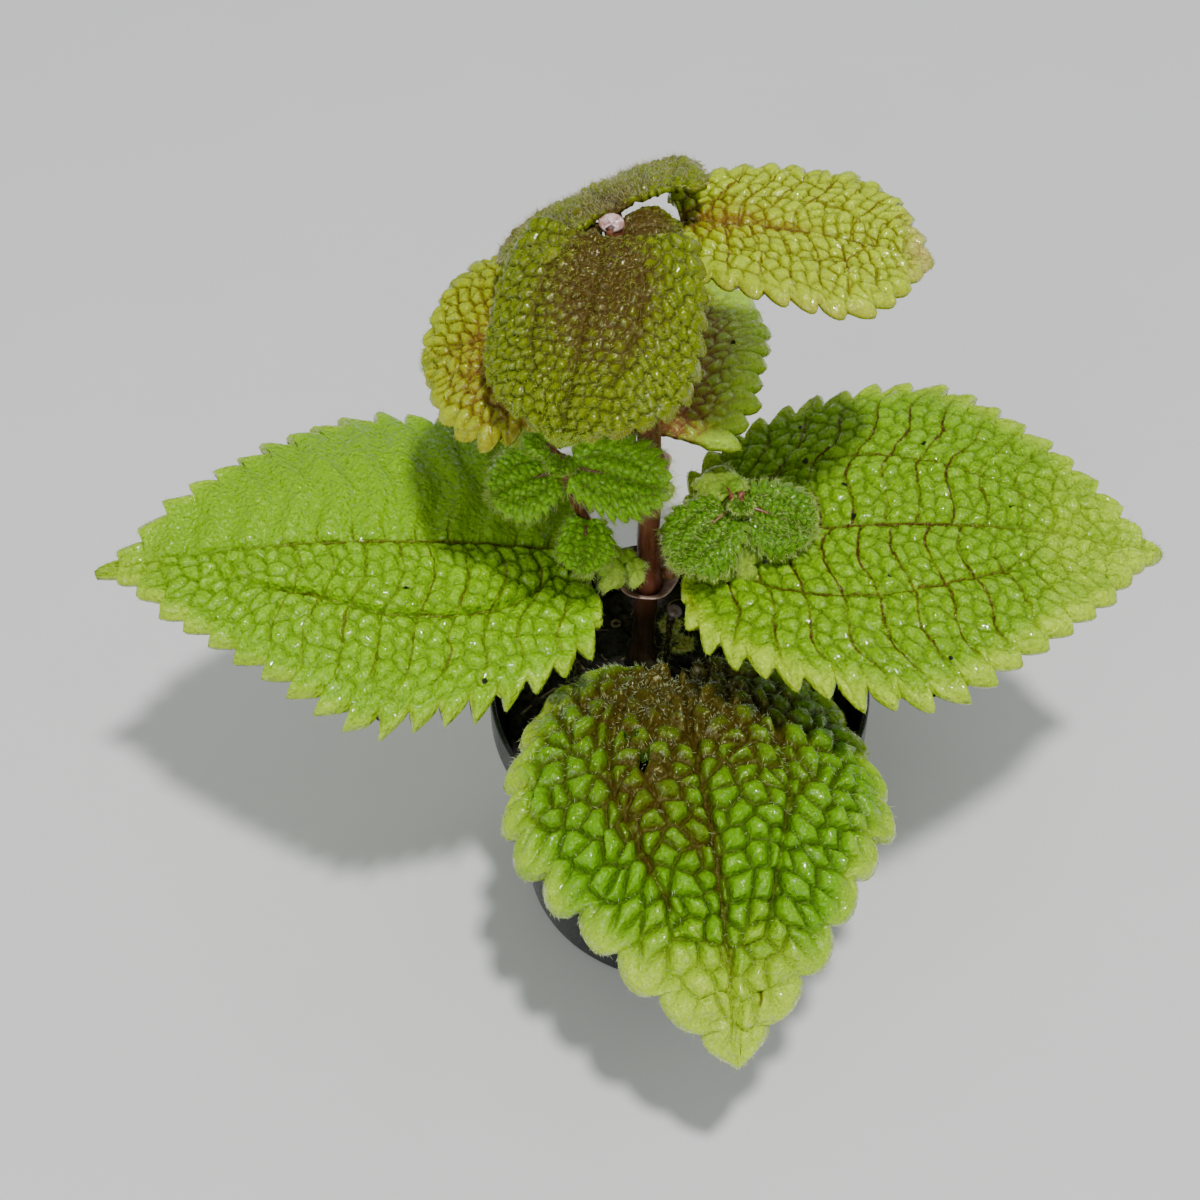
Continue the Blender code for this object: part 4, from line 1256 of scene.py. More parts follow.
def stem_radius(z):
    """A little slimmer upwards, with a swelling at each node above the soil."""
    slim = STEM_RADIUS * np.interp(z, (52.0, 150.0, STEM_TOP_Z), (1.0, 0.9, 0.7))
    swell = sum(np.exp(-((z - n) / 2.5) ** 2) for n in NODE_HEIGHTS)
    return slim + NODE_SWELL * swell * (z > 53)


print("the stem leans", round(float(stem_axis(STEM_FOOT_Z)[0] - stem_axis(STEM_TOP_Z)[0]), 1), "mm")

# %% [markdown]
# ## Finish of stem, stalks and scales
# The red-brown skin has fine upright streaks, so the noise is stretched along Z. Low on the stem
# it is nearly black, partly its own dark colour and partly painted shade. The same recipe with other
# colours serves the stalks and the papery scales.

# %% Stem material
STREAK_SCALE = 900.0
STREAK_STRETCH = (1.0, 1.0, 0.12)
# Nearly black low down: partly the stem's own dark colour and partly painted shade.
DARK_AND_SHADE_BELOW = (0.068, 0.084)
LOW_STEM_DARK_AND_SHADE = (0.012, 0.009, 0.004, 1.0)


def make_stem_material(name, dark, light, roughness_low=0.25):
    material, tree, shader = new_material(name, 0.35)
    place = place_of(tree)
    stretch = add_node(tree, "ShaderNodeMapping")
    wire(tree, place, stretch.inputs["Vector"])
    stretch.inputs["Scale"].default_value = STREAK_STRETCH
    streaks = noise(tree, stretch.outputs["Vector"], STREAK_SCALE, 1.0)
    blotch = noise(tree, place, 160.0, 2.0)
    mixed = plus(tree, times(tree, streaks, 0.6), times(tree, blotch, 0.4))
    share = ramp_between(tree, mixed, 0.35, 0.65)
    body = blend_colours(tree, share, (*dark, 1.0), (*light, 1.0))
    split = add_node(tree, "ShaderNodeSeparateXYZ")
    wire(tree, place, split.inputs[0])
    # Partly the stem's own dark colour and partly painted shade, below the first node.
    low_dark_and_shade = ramp_between(tree, split.outputs["Z"], *DARK_AND_SHADE_BELOW, 0.95, 0.0)
    wire(tree, blend_colours(tree, low_dark_and_shade, body, LOW_STEM_DARK_AND_SHADE), shader.inputs["Base Color"])
    roughness = ramp_between(tree, streaks, 0.3, 0.7, roughness_low, roughness_low + 0.2)
    wire(tree, roughness, shader.inputs["Roughness"])
    add_relief(tree, shader, streaks, 0.2, 0.0002)
    set_sockets(shader, subsurface_weight=0.1, subsurface_scale=0.001)
    return material


stem_red = make_stem_material("red-brown stem", (0.13, 0.034, 0.016), (0.22, 0.075, 0.034))
stalk_green = make_stem_material("stalk green-brown", (0.10, 0.06, 0.015), (0.24, 0.20, 0.03), 0.3)
scale_pale = make_stem_material("pale papery scale", (0.32, 0.18, 0.13), (0.55, 0.42, 0.34), 0.3)
scale_pink = make_stem_material("pink bud scale", (0.45, 0.20, 0.17), (0.85, 0.66, 0.62), 0.08)
print("four finishes from one recipe")

# %% [markdown]
# ## The stem's tube and hairs
# A tube along a rounded path, its radius read from the height, gives the stem in a few lines. The
# hairs stand straight out of it and lean a little upwards. They begin above the black part.


# %% Make the stem and its hairs
def make_stem():
    z = np.linspace(STEM_FOOT_Z, STEM_TOP_Z, 150)
    x, y = stem_axis(z)
    path = smooth_path(np.stack([x, y, z], axis=1), 150)
    radii = stem_radius(path[:, 2]) * (1 + 0.03 * np.sin(path[:, 2] * 0.9))
    points, faces = tube_arrays(path, radii, STEM_SIDES)
    closed_piece("main_stem_skin", points, faces, stem_red, "main_stem")
    rng = np.random.default_rng(5)
    hair_z = rng.uniform(84, 170, STEM_HAIRS)
    turn = rng.uniform(0, 2 * math.pi, STEM_HAIRS)
    hair_x, hair_y = stem_axis(hair_z)
    way = np.stack([np.cos(turn), np.sin(turn), np.zeros(STEM_HAIRS)], axis=1)
    roots = np.stack([hair_x, hair_y, hair_z], axis=1) + way * stem_radius(hair_z)[:, None]
    leaning = way + rng.normal(scale=0.25, size=(STEM_HAIRS, 3)) + np.array([0, 0, 0.3])
    lengths = 0.9 * rng.uniform(0.5, 1.2, STEM_HAIRS)
    hair_points, hair_faces = spikes(roots, leaning, lengths, 0.04, rng)
    dress(mesh_piece("main_stem_hairs", hair_points, hair_faces, brown_hair), None)
    print("stem is", STEM_TOP_Z - STEM_FOOT_Z, "mm long with", len(NODE_HEIGHTS), "nodes")


make_stem()

# %% [markdown]
# ## Leaf stalks
# A stalk leaves the side of the stem, rises to the blade's base and fades out under the midrib. A
# tube that gets thinner along a rounded route does it, with its last points placed under the blade.

# %% Make the leaf stalks
STALK_REACH = 0.22
STALK_SIDES = 14


def leaf_stalk(name, z, leaf):
    """From the stem's side, out and up to the blade's base, then under the midrib."""
    x, y = stem_axis(z)
    base = np.array(leaf["base"], dtype=float)
    way = np.array([base[0] - x, base[1] - y, 0.0])
    way /= np.linalg.norm(way)
    start = np.array([x, y, z]) + way * (stem_radius(z) + GAP - 0.6)
    depth = -(BLADE_THICKNESS * 0.5 + leaf["stalk"])
    under = np.array([0.03, STALK_REACH * 0.5, STALK_REACH]) * leaf["length"]
    depths = np.array([depth, depth * 0.8, -BLADE_THICKNESS * 0.5 - leaf["stalk"] * 0.35])
    ends = blade_in_space(under, np.zeros(3), depths, leaf)
    second = start + way * 1.8
    middle = second * 0.45 + ends[0] * 0.55
    shares = np.array([1.0, 1.0, 0.95, 0.9, 0.7, 0.35]) * leaf["stalk"]
    route = np.column_stack([np.vstack([start, second, middle, ends]), shares])
    fine = smooth_path(route, 30)
    points, faces = tube_arrays(fine[:, :3], fine[:, 3], STALK_SIDES)
    closed_piece(name + "_stalk", points, faces, stalk_green, None)


STALKS = (("leaf_front", 57.0, front_leaf, "leaf"), ("leaf_left", 82.0, left_leaf, "leaf"),
          ("leaf_right", 82.0, right_leaf, "leaf"), ("leaf_back", 113.0, back_leaf, "leaf"),
          ("leaf_upper_left", 153.0, upper_left_leaf, "young_leaf"),
          ("leaf_upper_right", 156.0, upper_right_leaf, "young_leaf"),
          ("leaf_crown_front", 168.0, crown_front_leaf, "young_leaf"),
          ("leaf_crown_back", 168.5, crown_back_leaf, "young_leaf"))
for stalk_name, stalk_z, stalk_leaf, stalk_slot in STALKS:
    leaf_stalk(stalk_name, stalk_z, stalk_leaf)
print(len(STALKS), "leaf stalks made")

# %% [markdown]
# ## Papery collar
# Where a pair of leaves grows from the stem, two stipules stand round it like a small collar. On
# the plant they are thin, pale and a little pink. A ring of points with a flared, wavy rim and a
# thickness gives that, without carving the stem.


# %% Make the collar of each node
COLLAR_THICKNESS = 0.35
COLLAR_AROUND = 72
COLLAR_UP = 10


def collar_faces(around, up):
    """Triangles of the outer and the inner skin of a cup and of the rings that close it."""
    count = around * up
    faces = []
    for i in range(around):
        n = (i + 1) % around
        for k in range(up - 1):
            a, b, c, d = i * up + k, n * up + k, n * up + k + 1, i * up + k + 1
            faces += [(a, b, c), (a, c, d)]
            faces += [(count + a, count + c, count + b), (count + a, count + d, count + c)]
        low_a, low_b, high_a, high_b = i * up, n * up, i * up + up - 1, n * up + up - 1
        faces += [(low_a, count + low_b, low_b), (low_a, count + low_a, count + low_b)]
        faces += [(high_a, high_b, count + high_b), (high_a, count + high_b, count + high_a)]
    return faces


def make_collar(name, z, low_radius, high_radius, height, seed):
    """A thin flared cup round the stem whose wavy rim rises in two lobes."""
    around = np.linspace(0, 2 * math.pi, COLLAR_AROUND, endpoint=False)
    turn, rise = np.meshgrid(around, np.linspace(0, 1, COLLAR_UP), indexing="ij")
    phase = np.random.default_rng(seed).uniform(0, 2 * math.pi)
    lobes = 0.8 + 0.2 * np.abs(np.cos(turn - phase)) ** 0.7
    x, y = stem_axis(z)
    reach = low_radius + (high_radius - low_radius) * rise ** 1.4 * lobes
    reach = reach + 0.2 * np.sin(turn * 5 + phase) * rise
    top = z + height * rise * lobes
    inside = reach - COLLAR_THICKNESS
    outer = np.stack([x + reach * np.cos(turn), y + reach * np.sin(turn), top], -1)
    inner = np.stack([x + inside * np.cos(turn), y + inside * np.sin(turn), top + 0.05], -1)
    points = np.vstack([outer.reshape(-1, 3), inner.reshape(-1, 3)])
    closed_piece(name, points, collar_faces(COLLAR_AROUND, COLLAR_UP), scale_pale, None)


make_collar("node_collar_low", 78.0, 3.0, 6.3, 3.4, 3)
make_collar("node_collar_middle", 111.5, 2.8, 4.2, 2.6, 4)
make_collar("node_collar_high", 152.8, 2.6, 3.8, 2.4, 6)
print("three collars made")

# %% [markdown]
# ## Side shoots
# Small leafy shoots grow from the first node and beside the foot of the stem. Their leaves use the
# same blade formulas with smaller numbers, and their hairs are long for their size. The lowest
# leaves of a shoot are pale and lobed.

# %% Values for the shoots
SHOOT_FLUSH = (0.10, 0.06, 0.01)
SHOOT_VEIN = (0.06, 0.10, 0.003)


# The crease colour of a shoot leaf is a painted shade.
def shoot_material(name, crease, dome, pale):
    return leaf_material(name, [crease, dome, pale, SHOOT_FLUSH, SHOOT_VEIN], vein_strength=0.25,
                         rungs=0.3, net=0.0, rung_spacing=3.4, vein_width=0.25, bump=0.0004)


brown_shoot = shoot_material("base shoot leaf", (0.16, 0.16, 0.02), (0.44, 0.45, 0.06), (0.55, 0.45, 0.20))
# Painted light: the left shoot's colours are made lighter, as if it were lit.
shoot_painted_lit = shoot_material("shoot leaf painted lit", (0.13, 0.33, 0.001), (0.26, 0.64, 0.002),
                              (0.34, 0.52, 0.05))
# Painted shade: the right shoot's colours are made darker, as if it lay in shade.
shoot_painted_shaded = shoot_material("shoot leaf painted shaded", (0.03, 0.085, 0.001), (0.10, 0.27, 0.002), (0.30, 0.46, 0.04))
shoot_look = leaf_look(rung_spacing=2.6, dome_height=0.5, bubble=0.6, rung_depth=0.1, rib_depth=0.5,
                       side_rib_depth=0.25, fine_height=0.05, tooth_round=0.6, tooth_depth=2.2, pale_edge=0.4,
                       pale_width=0.8, pale_tip_from=0.8, pale_tip=0.5, wave=0.3, vein_reach=0.9)
pale_look = leaf_look(rung_spacing=6.0, dome_height=0.1, rung_depth=0.0, rib_depth=0.25, side_rib_depth=0.0,
                      fine_height=0.03, tooth_round=1.0, tooth_depth=1.5, tooth_dome=0.4, pale_tip_from=-0.9,
                      pale_tip=1.0, wave=0.5, vein_reach=0.0)


def small_leaf(base, azimuth, length, width, pitch, pitch_tip, roll=0.0, teeth=6):
    """A leaf of a shoot, its lobes and teeth in proportion to its length."""
    return leaf_shape(base, azimuth, length, width, pitch, pitch_tip, roll=roll, base_share=0.35,
                      widest=0.45, taper=1.8, lobe=0.06 * length, teeth=teeth, tooth=0.05 * length,
                      stalk=0.6)


def lobed_leaf(base, azimuth, length, width, pitch, pitch_tip):
    """A narrow pale leaf with three deep round teeth on each side."""
    return leaf_shape(base, azimuth, length, width, pitch, pitch_tip, widest=0.6, taper=2.2, lobe=0.0,
                      teeth=3, tooth=0.14 * length, stalk=0.6)


print("three shoot finishes and two leaf forms")

# %% [markdown]
# ## How a shoot is put together
# A shoot has up to eight small leaves. Their blades are joined into one piece that stands for the
# plain shoot, their stalks and the shoot's own stem into a second, and all the hairs into a third.

# %% Make a shoot
SHOOT_ROWS = 90
SHOOT_COLUMNS = 44
SHOOT_PATH_POINTS = 40
SHOOT_STEM_HAIRS = 500
FULL_LEAF = 14.0
PALE_HAIR_SHARE = 0.15


def shoot_hair_look(leaf, look, hairs_per_leaf):
    """More and longer hairs on a longer leaf, and few on a pale one."""
    size = max(leaf["length"] / FULL_LEAF, 0.4)
    amount = int(hairs_per_leaf * size * size * (PALE_HAIR_SHARE if look is pale_look else 1.0))
    return hair_look(amount, 1.9 * size ** 0.5, 0.05, int(330 * size), loose=0.4)


def small_stalk(joint, leaf):
    """A thin tube from the shoot's stem to a place under the leaf's midrib."""
    along = np.array([0.05, 0.3]) * leaf["length"]
    ends = blade_in_space(along, np.zeros(2), np.array([-0.45, -0.57]), leaf)
    route = smooth_path(np.column_stack([np.vstack([joint, ends]), [0.6, 0.54, 0.3]]), 10)
    return (*tube_arrays(route[:, :3], route[:, 3], 10), {})


def shoot_stem_hairs(main, seed):
    """Hairs that stand out of the shoot's own stem."""
    rng = np.random.default_rng(seed)
    pick = rng.integers(2, SHOOT_PATH_POINTS - 2, SHOOT_STEM_HAIRS)
    way = rng.normal(size=(SHOOT_STEM_HAIRS, 3))
    way /= np.linalg.norm(way, axis=1, keepdims=True)
    roots = main[pick, :3] + way * main[pick, 3][:, None] * 0.9
    return (*spikes(roots, way, rng.uniform(0.6, 1.5, SHOOT_STEM_HAIRS), 0.045, rng), {})


def detailed_shoot(name, path, radii, leaves, material, hairs_per_leaf, seed):
    """A shoot: leaves, stem and hairs, each a piece, the leaves stand for the plain node."""
    blades, fuzz, tubes = [], [], []
    for k, (joint, leaf, look) in enumerate(leaves):
        points, faces, stored, shape = blade_arrays(leaf, look, SHOOT_ROWS // leaf["teeth"], SHOOT_COLUMNS,
                                                    seed + k)
        blades.append((points, faces, stored))
        hairs = shoot_hair_look(leaf, look, hairs_per_leaf)
        fuzz.append((*blade_hairs(shape, hairs, seed + 50 + k), {}))
        tubes.append(small_stalk(joint, leaf))
    main = smooth_path(np.column_stack([np.array(path), radii]), SHOOT_PATH_POINTS)
    tubes.append((*tube_arrays(main[:, :3], main[:, 3], 16), {}))
    fuzz.append(shoot_stem_hairs(main, seed + 99))
    points, faces, stored = joined_arrays(blades)
    closed_piece(name + "_leaves", points, faces, material, name, stored)
    points, faces, _ = joined_arrays(tubes)
    closed_piece(name + "_stem", points, faces, stem_red, None)
    points, faces, _ = joined_arrays(fuzz)
    dress(mesh_piece(name + "_hairs", points, faces, shoot_hair), None)
    print(name, "has", len(leaves), "leaves and", len(faces) // 4, "hairs")


print("a shoot becomes leaves, stem and hairs")

# %% [markdown]
# ### The two shoots at the first node
# Each leaf of a shoot is a line: where its stalk starts, its form and its look. The left shoot's
# colours are lightened as painted light, and the right one's darkened as painted shade.

# %% Make the shoots
detailed_shoot(
    "shoot_left",
    [(-10.5, 10.2, 84.0), (-13.0, 9.6, 88.0), (-18.0, 9.0, 99.0), (-22.0, 9.2, 110.0), (-22.8, 9.5, 118.0)],
    [1.5, 1.4, 1.1, 1.0, 0.7],
    [((-22.3, 9.3, 114.0), small_leaf((-24.5, 9.7, 113.5), 188, 14, 15, -10, -35, 25, 9), shoot_look),
     ((-22.5, 9.4, 117.0), small_leaf((-20.6, 6.2, 118.4), -18, 19, 15, 4, -10, -48, 10), shoot_look),
     ((-16.0, 9.2, 94.5), lobed_leaf((-17.0, 7.4, 97.0), -118, 8, 4.2, -25, -65), pale_look),
     ((-14.6, 9.3, 92.0), lobed_leaf((-14.2, 6.6, 96.5), -82, 9, 4.4, -30, -70), pale_look),
     ((-13.6, 9.4, 90.0), lobed_leaf((-11.2, 7.4, 94.5), -52, 8, 4.2, -25, -65), pale_look),
     ((-17.6, 9.2, 98.0), small_leaf((-18.4, 6.8, 103.5), -95, 11, 11, -20, -55, 0, 7), shoot_look),
     ((-22.7, 9.5, 117.4), small_leaf((-24.5, 11.0, 118.4), 135, 7, 8, 12, -5), shoot_look),
     ((-22.7, 9.5, 117.4), small_leaf((-22.6, 9.0, 119.0), -100, 6, 6, 30, -20), shoot_look)],
    shoot_painted_lit, 420, 83)
detailed_shoot(
    "shoot_right",
    [(-2.4, 10.2, 84.0), (0.0, 9.6, 87.5), (5.5, 9.0, 97.0), (10.0, 9.6, 103.0), (10.8, 9.9, 107.5)],
    [1.5, 1.4, 1.1, 1.0, 0.6],
    [((9.8, 9.5, 102.6), small_leaf((7.8, 8.2, 104.3), 218, 15, 17, -15, -45, 5, 9), shoot_look),
     ((10.2, 9.6, 103.6), small_leaf((12.2, 9.2, 104.6), -18, 14, 15, -5, -28, -25, 9), shoot_look),
     ((10.0, 9.6, 103.0), small_leaf((9.0, 12.5, 104.6), 118, 9, 10, 5, -20), pale_look),
     ((7.5, 9.2, 99.8), lobed_leaf((8.6, 5.4, 99.0), -105, 8, 4.2, -30, -65), pale_look),
     ((8.0, 9.2, 100.2), lobed_leaf((11.0, 6.2, 99.4), -72, 9, 4.4, -30, -70), pale_look),
     ((10.5, 9.8, 106.0), small_leaf((10.6, 9.0, 107.5), -90, 5, 5, 30, -20), shoot_look)],
    shoot_painted_shaded, 420, 97)

# %% [markdown]
# ### The shoot at the foot of the stem
# This one is tiny and pale brown, with a small pink trumpet on top.

# %% Make the base shoot and its trumpet
foot_x, foot_y = (-2.6, 10.6)
detailed_shoot(
    "shoot_base",
    [(foot_x, foot_y, 46.0), (foot_x, foot_y, 54.0), (foot_x + 0.4, foot_y + 0.2, 62.0),
     (foot_x + 1.0, foot_y + 0.2, 70.0)],
    [0.8, 0.7, 0.6, 0.9],
    [((foot_x + 0.2, foot_y + 0.1, 60.0), small_leaf((foot_x + 1.2, foot_y + 0.4, 61.0), 15, 5, 4.5, 10, -20),
      shoot_look),
     ((foot_x + 0.3, foot_y + 0.1, 63.0), small_leaf((foot_x + 0.6, foot_y + 1.4, 64.0), 80, 5, 4.5, 10, -20),
      shoot_look)],
    brown_shoot, 250, 101)
trumpet_path = smooth_path([(foot_x + 0.9, foot_y + 0.2, 68.5, 0.5), (foot_x + 1.2, foot_y, 70.5, 0.6),
                            (foot_x + 1.6, foot_y - 0.3, 72.2, 1.5)], 16)
trumpet_points, trumpet_faces = tube_arrays(trumpet_path[:, :3], trumpet_path[:, 3], 16)
dress(mesh_piece("shoot_base_trumpet", trumpet_points, trumpet_faces, scale_pink), None)
print("trumpet has", len(trumpet_faces), "triangles")

# %% [markdown]
# ## Crown bud
# Between the youngest leaves sits a folded bud, pale pink and wet-looking. Five pointed scales
# form it, and four leaves no longer than a fingernail stand round it. A scale is a spoon-shaped
# grid bent round the bud.

# %% Make the bud
BUD_SCALE_THICKNESS = 0.3
BUD_SCALE_CUP = 0.35
BUD_SCALES = ((-100, 3.0, 4.2, -75, 0.9), (15, 2.9, 3.8, -80, 0.9), (150, 2.8, 3.8, -75, 0.9),
              (-50, 2.0, 2.4, 30, 1.4), (-165, 2.2, 2.6, 35, 1.5))


def scale_arrays(base, azimuth, length, width, lean, cup):
    """A pointed spoon-shaped scale with a thickness, its tip leaning inward over the bud."""
    u, v = np.meshgrid(np.linspace(0, 1, 15), np.linspace(-1, 1, 11), indexing="ij")
    half = width / 2 * np.sin(np.clip(u * 0.92 + 0.08, 0, 1) * math.pi) ** 0.6
    turn = math.radians(azimuth)
    out = np.array([math.cos(turn), math.sin(turn), 0.0])
    side = np.array([-math.sin(turn), math.cos(turn), 0.0])
    bend = math.radians(lean) * u
    push = np.sin(bend) * length * u * 0.5 + 0.7 * np.sin(u * math.pi) - cup * (v ** 2) * half
    rise = length * u * np.cos(bend * 0.5)
    up = np.array([0.0, 0.0, 1.0])
    face = np.array(base) + out * push[..., None] + side * (v * half)[..., None] + up * rise[..., None]
    back = face - out * BUD_SCALE_THICKNESS
    number = np.arange(u.size).reshape(u.shape)
    front = grid_faces(number)
    rear = front[:, ::-1] + number.size
    loop = grid_loop(number)
    after = np.roll(loop, -1)
    rim = np.concatenate([np.stack([loop, loop + number.size, after], -1),
                          np.stack([after, loop + number.size, after + number.size], -1)])
    return np.vstack([face.reshape(-1, 3), back.reshape(-1, 3)]), np.vstack([front, rear, rim])


def make_bud():
    """Each scale has an azimuth, a length, a width, a lean and a distance from the middle."""
    x, y = stem_axis(STEM_TOP_Z)
    heart = []
    for azimuth, length, width, lean, out in BUD_SCALES:
        turn = math.radians(azimuth)
        base = (x + out * math.cos(turn), y + out * math.sin(turn) * 0.8, STEM_TOP_Z - 0.6)
        heart.append((*scale_arrays(base, azimuth, length, width, lean, BUD_SCALE_CUP), {}))
    points, faces, _ = joined_arrays(heart)
    closed_piece("crown_bud_scales", points, faces, scale_pink, "crown_bud")
    print("bud has", len(heart), "scales")


make_bud()

# %% [markdown]
# ### The youngest leaves
# Four small folded leaves stand round the bud. They are the crown leaves' formulas at a smaller
# size, with lower domes.

# %% Make the youngest leaves
YOUNGEST_LEAVES = ((-112, 8.5, 8.5, 1.6, 12), (-68, 7.0, 6.0, 1.6, 12), (4, 12.0, 12.0, 1.7, 30),
                   (176, 7.0, 8.0, 1.7, 12))


def make_youngest_leaves():
    """Each leaf has an azimuth, a length, a width, a distance from the stem's middle and a pitch."""
    x, y = stem_axis(STEM_TOP_Z)
    look = dict(crown_look, dome_height=0.45, rung_spacing=2.6, flush_spots=[(0.2, 0.0, 8.0, 8.0, 1.0)])
    hairs = hair_look(260, 1.1, 0.045, 60)
    blades, fuzz = [], []
    for k, (azimuth, length, width, side, pitch) in enumerate(YOUNGEST_LEAVES):
        turn = math.radians(azimuth)
        base = (x + side * math.cos(turn), y + side * math.sin(turn), STEM_TOP_Z - 1.6)
        leaf = small_leaf(base, azimuth, length, width, pitch, -50, 0.0, 7)
        points, faces, stored, shape = blade_arrays(leaf, look, 8, 36, 130 + k)
        blades.append((points, faces, stored))
        fuzz.append((*blade_hairs(shape, hairs, 140 + k), {}))
    points, faces, stored = joined_arrays(blades)
    closed_piece("youngest_leaves", points, faces, crown_olive, None, stored)
    points, faces, _ = joined_arrays(fuzz)
    dress(mesh_piece("youngest_leaves_hairs", points, faces, brown_hair), None)
    print(len(blades), "youngest leaves stand round the bud")


make_youngest_leaves()

# %% [markdown]
# ## Pot
# A nursery pot is thin black plastic with a soft sheen, faint scuffs and a rolled lip. Its outline
# is turned round the upright axis, and the drainage holes are cut out afterwards.

# %% Pot numbers
POT_HEIGHT = 62.0
POT_RIM_RADIUS = 38.0
POT_BOTTOM_RADIUS = 31.5
POT_WALL = 1.2
POT_FLOOR = 1.5
POT_LIP_HEIGHT = 8.0
POT_LIP_OVERHANG = 1.6
POT_SEGMENTS = 160
DRAIN_HOLES = 6
DRAIN_RADIUS = 3.5
DRAIN_RING_RADIUS = 19.0
LIP_ROUND = 0.35
FOOT_ROUND = 1.2
print("pot is", POT_HEIGHT, "mm tall and", 2 * POT_RIM_RADIUS, "mm across the rim")

# %% [markdown]
# ## Finish of the pot
# Two recipes are enough: wide grey clouds stand for dust, and very fine noise for the scuffs that
# break up the sheen.

# %% Pot material
POT_BLACK = (0.006, 0.0065, 0.008, 1.0)
POT_DUST = (0.020, 0.019, 0.019, 1.0)


def make_pot_material():
    material, tree, shader = new_material("pot black", 0.3)
    place = place_of(tree)
    dust = ramp_between(tree, noise(tree, place, 45.0, 5.0, 0.6), 0.45, 0.75)
    wire(tree, blend_colours(tree, dust, POT_BLACK, POT_DUST), shader.inputs["Base Color"])
    fine = noise(tree, place, 1800.0, 3.0)
    sheen = plus(tree, ramp_between(tree, fine, 0.3, 0.7, 0.20, 0.32), times(tree, dust, 0.2))
    wire(tree, sheen, shader.inputs["Roughness"])
    add_relief(tree, shader, fine, 0.3, 0.0001)
    return material


pot_black = make_pot_material()
print("pot finish has", len(pot_black.node_tree.nodes), "nodes")

# %% [markdown]
# ## The pot's shape
# The outline is written from the floor's middle up the inside, over the lip and down the outside,
# with short arcs where the plastic is rounded. A turned outline keeps the wall thickness exact.


# %% Make the pot
def arc(middle_r, middle_z, radius, start, end, count):
    """Points of an arc of the outline, its angles in degrees."""
    turn = np.radians(np.linspace(start, end, count))
    return list(zip(middle_r + radius * np.cos(turn), middle_z + radius * np.sin(turn)))


def pot_outline():
    """From the floor's middle up the inside, over the round lip, down the outside to the middle."""
    lip_low = POT_HEIGHT - POT_LIP_HEIGHT
    wall_top = POT_RIM_RADIUS - POT_LIP_OVERHANG
    half_wall = POT_WALL / 2
    inner_low = POT_BOTTOM_RADIUS - POT_WALL
    inside = [(0.0, POT_FLOOR)] + arc(inner_low - 1.0, POT_FLOOR + 1.0, 1.0, -90, 0, 6)
    inside += [(wall_top - POT_WALL, lip_low - 1.0), (POT_RIM_RADIUS - POT_WALL - 0.1, lip_low + 0.8)]
    lip = arc(POT_RIM_RADIUS - half_wall, POT_HEIGHT - half_wall, half_wall, 180, 0, 10)
    ridge = arc(POT_RIM_RADIUS - LIP_ROUND, lip_low + LIP_ROUND, LIP_ROUND, 0, -90, 5)
    outside = ridge + arc(wall_top + LIP_ROUND, lip_low - LIP_ROUND, LIP_ROUND, 90, 180, 5)
    for share in (0.2, 0.5, 0.8):
        radius = wall_top + (POT_BOTTOM_RADIUS - wall_top) * share
        outside.append((radius, lip_low * (1 - share)))
    foot = arc(POT_BOTTOM_RADIUS - FOOT_ROUND, FOOT_ROUND, FOOT_ROUND, 0, -90, 7)
    recess = [(POT_BOTTOM_RADIUS - 4.0, 0.0), (POT_BOTTOM_RADIUS - 4.4, 0.4), (14.0, 0.4), (13.6, 0.0),
              (0.0, 0.0)]
    return inside + lip + outside + foot + recess


def turned_piece(name, outline, segments, material):
    """A solid turned round the Z axis, its outline starting and ending on the axis."""
    mesh = bpy.data.meshes.new(name)
    points = [(r * MM, 0.0, z * MM) for r, z in outline]
    mesh.from_pydata(points, [(i, i + 1) for i in range(len(points) - 1)], [])
    made = bpy.data.objects.new(name, mesh)
    bpy.context.scene.collection.objects.link(made)
    screw = made.modifiers.new("turn", "SCREW")
    screw.angle = 2 * math.pi
    screw.steps = segments
    screw.render_steps = segments
    screw.use_merge_vertices = True
    screw.merge_threshold = 0.00001
    bake_modifiers(made)
    mesh = made.data
    mesh.materials.append(material)
    mesh.polygons.foreach_set("use_smooth", np.ones(len(mesh.polygons), dtype=bool))
    face_outward(made)
    return made


def make_pot():
    pot = turned_piece("nursery_pot", pot_outline(), POT_SEGMENTS, pot_black)
    cutters = []
    for i in range(DRAIN_HOLES):
        turn = 2 * math.pi * i / DRAIN_HOLES
        bpy.ops.mesh.primitive_cylinder_add(vertices=40, radius=DRAIN_RADIUS * MM, depth=8 * MM)
        cutter = bpy.context.active_object
        cutter.location = (DRAIN_RING_RADIUS * math.cos(turn) * MM,
                           DRAIN_RING_RADIUS * math.sin(turn) * MM, 0)
        cutters.append(cutter)
    cut_with(pot, cutters)
    pot.data.set_sharp_from_angle(angle=math.radians(40))
    dress(pot, "pot")
    print("pot has", len(pot.data.polygons), "faces")


make_pot()

# %% [markdown]
# ## Soil
# Damp potting soil is a dark crumbly plug with fibres and chips of bark. The plug is a turned
# solid whose top is pushed up and down by waves. Crumbs are small faceted lumps scattered on it
# and sunk half in. The fibres are thin bent tubes, and so are one longer straw and one pale curl.

# %% Soil numbers
SOIL_TOP = 52.0
SOIL_LUMP = 0.9
SOIL_RADIUS = 34.2
CRUMB_COUNT = 900
CRUMB_SIZES = (0.35, 1.7)
FIBRE_COUNT = 60
STRAW_BENDS = ((-32.0, -0.5), (-27.0, 4.5), (-20.4, 8.7))
CURL_PLACE = (-12.5, 22.7)
STRAW_RADIUS = 0.3
print("soil stands", POT_HEIGHT - SOIL_TOP, "mm below the rim")

# %% [markdown]
# ## Finish of the soil
# Rough noise in two dark browns, dull in most places and a little wet in others. The same recipe
# with lighter colours serves the crumbs and the straw.


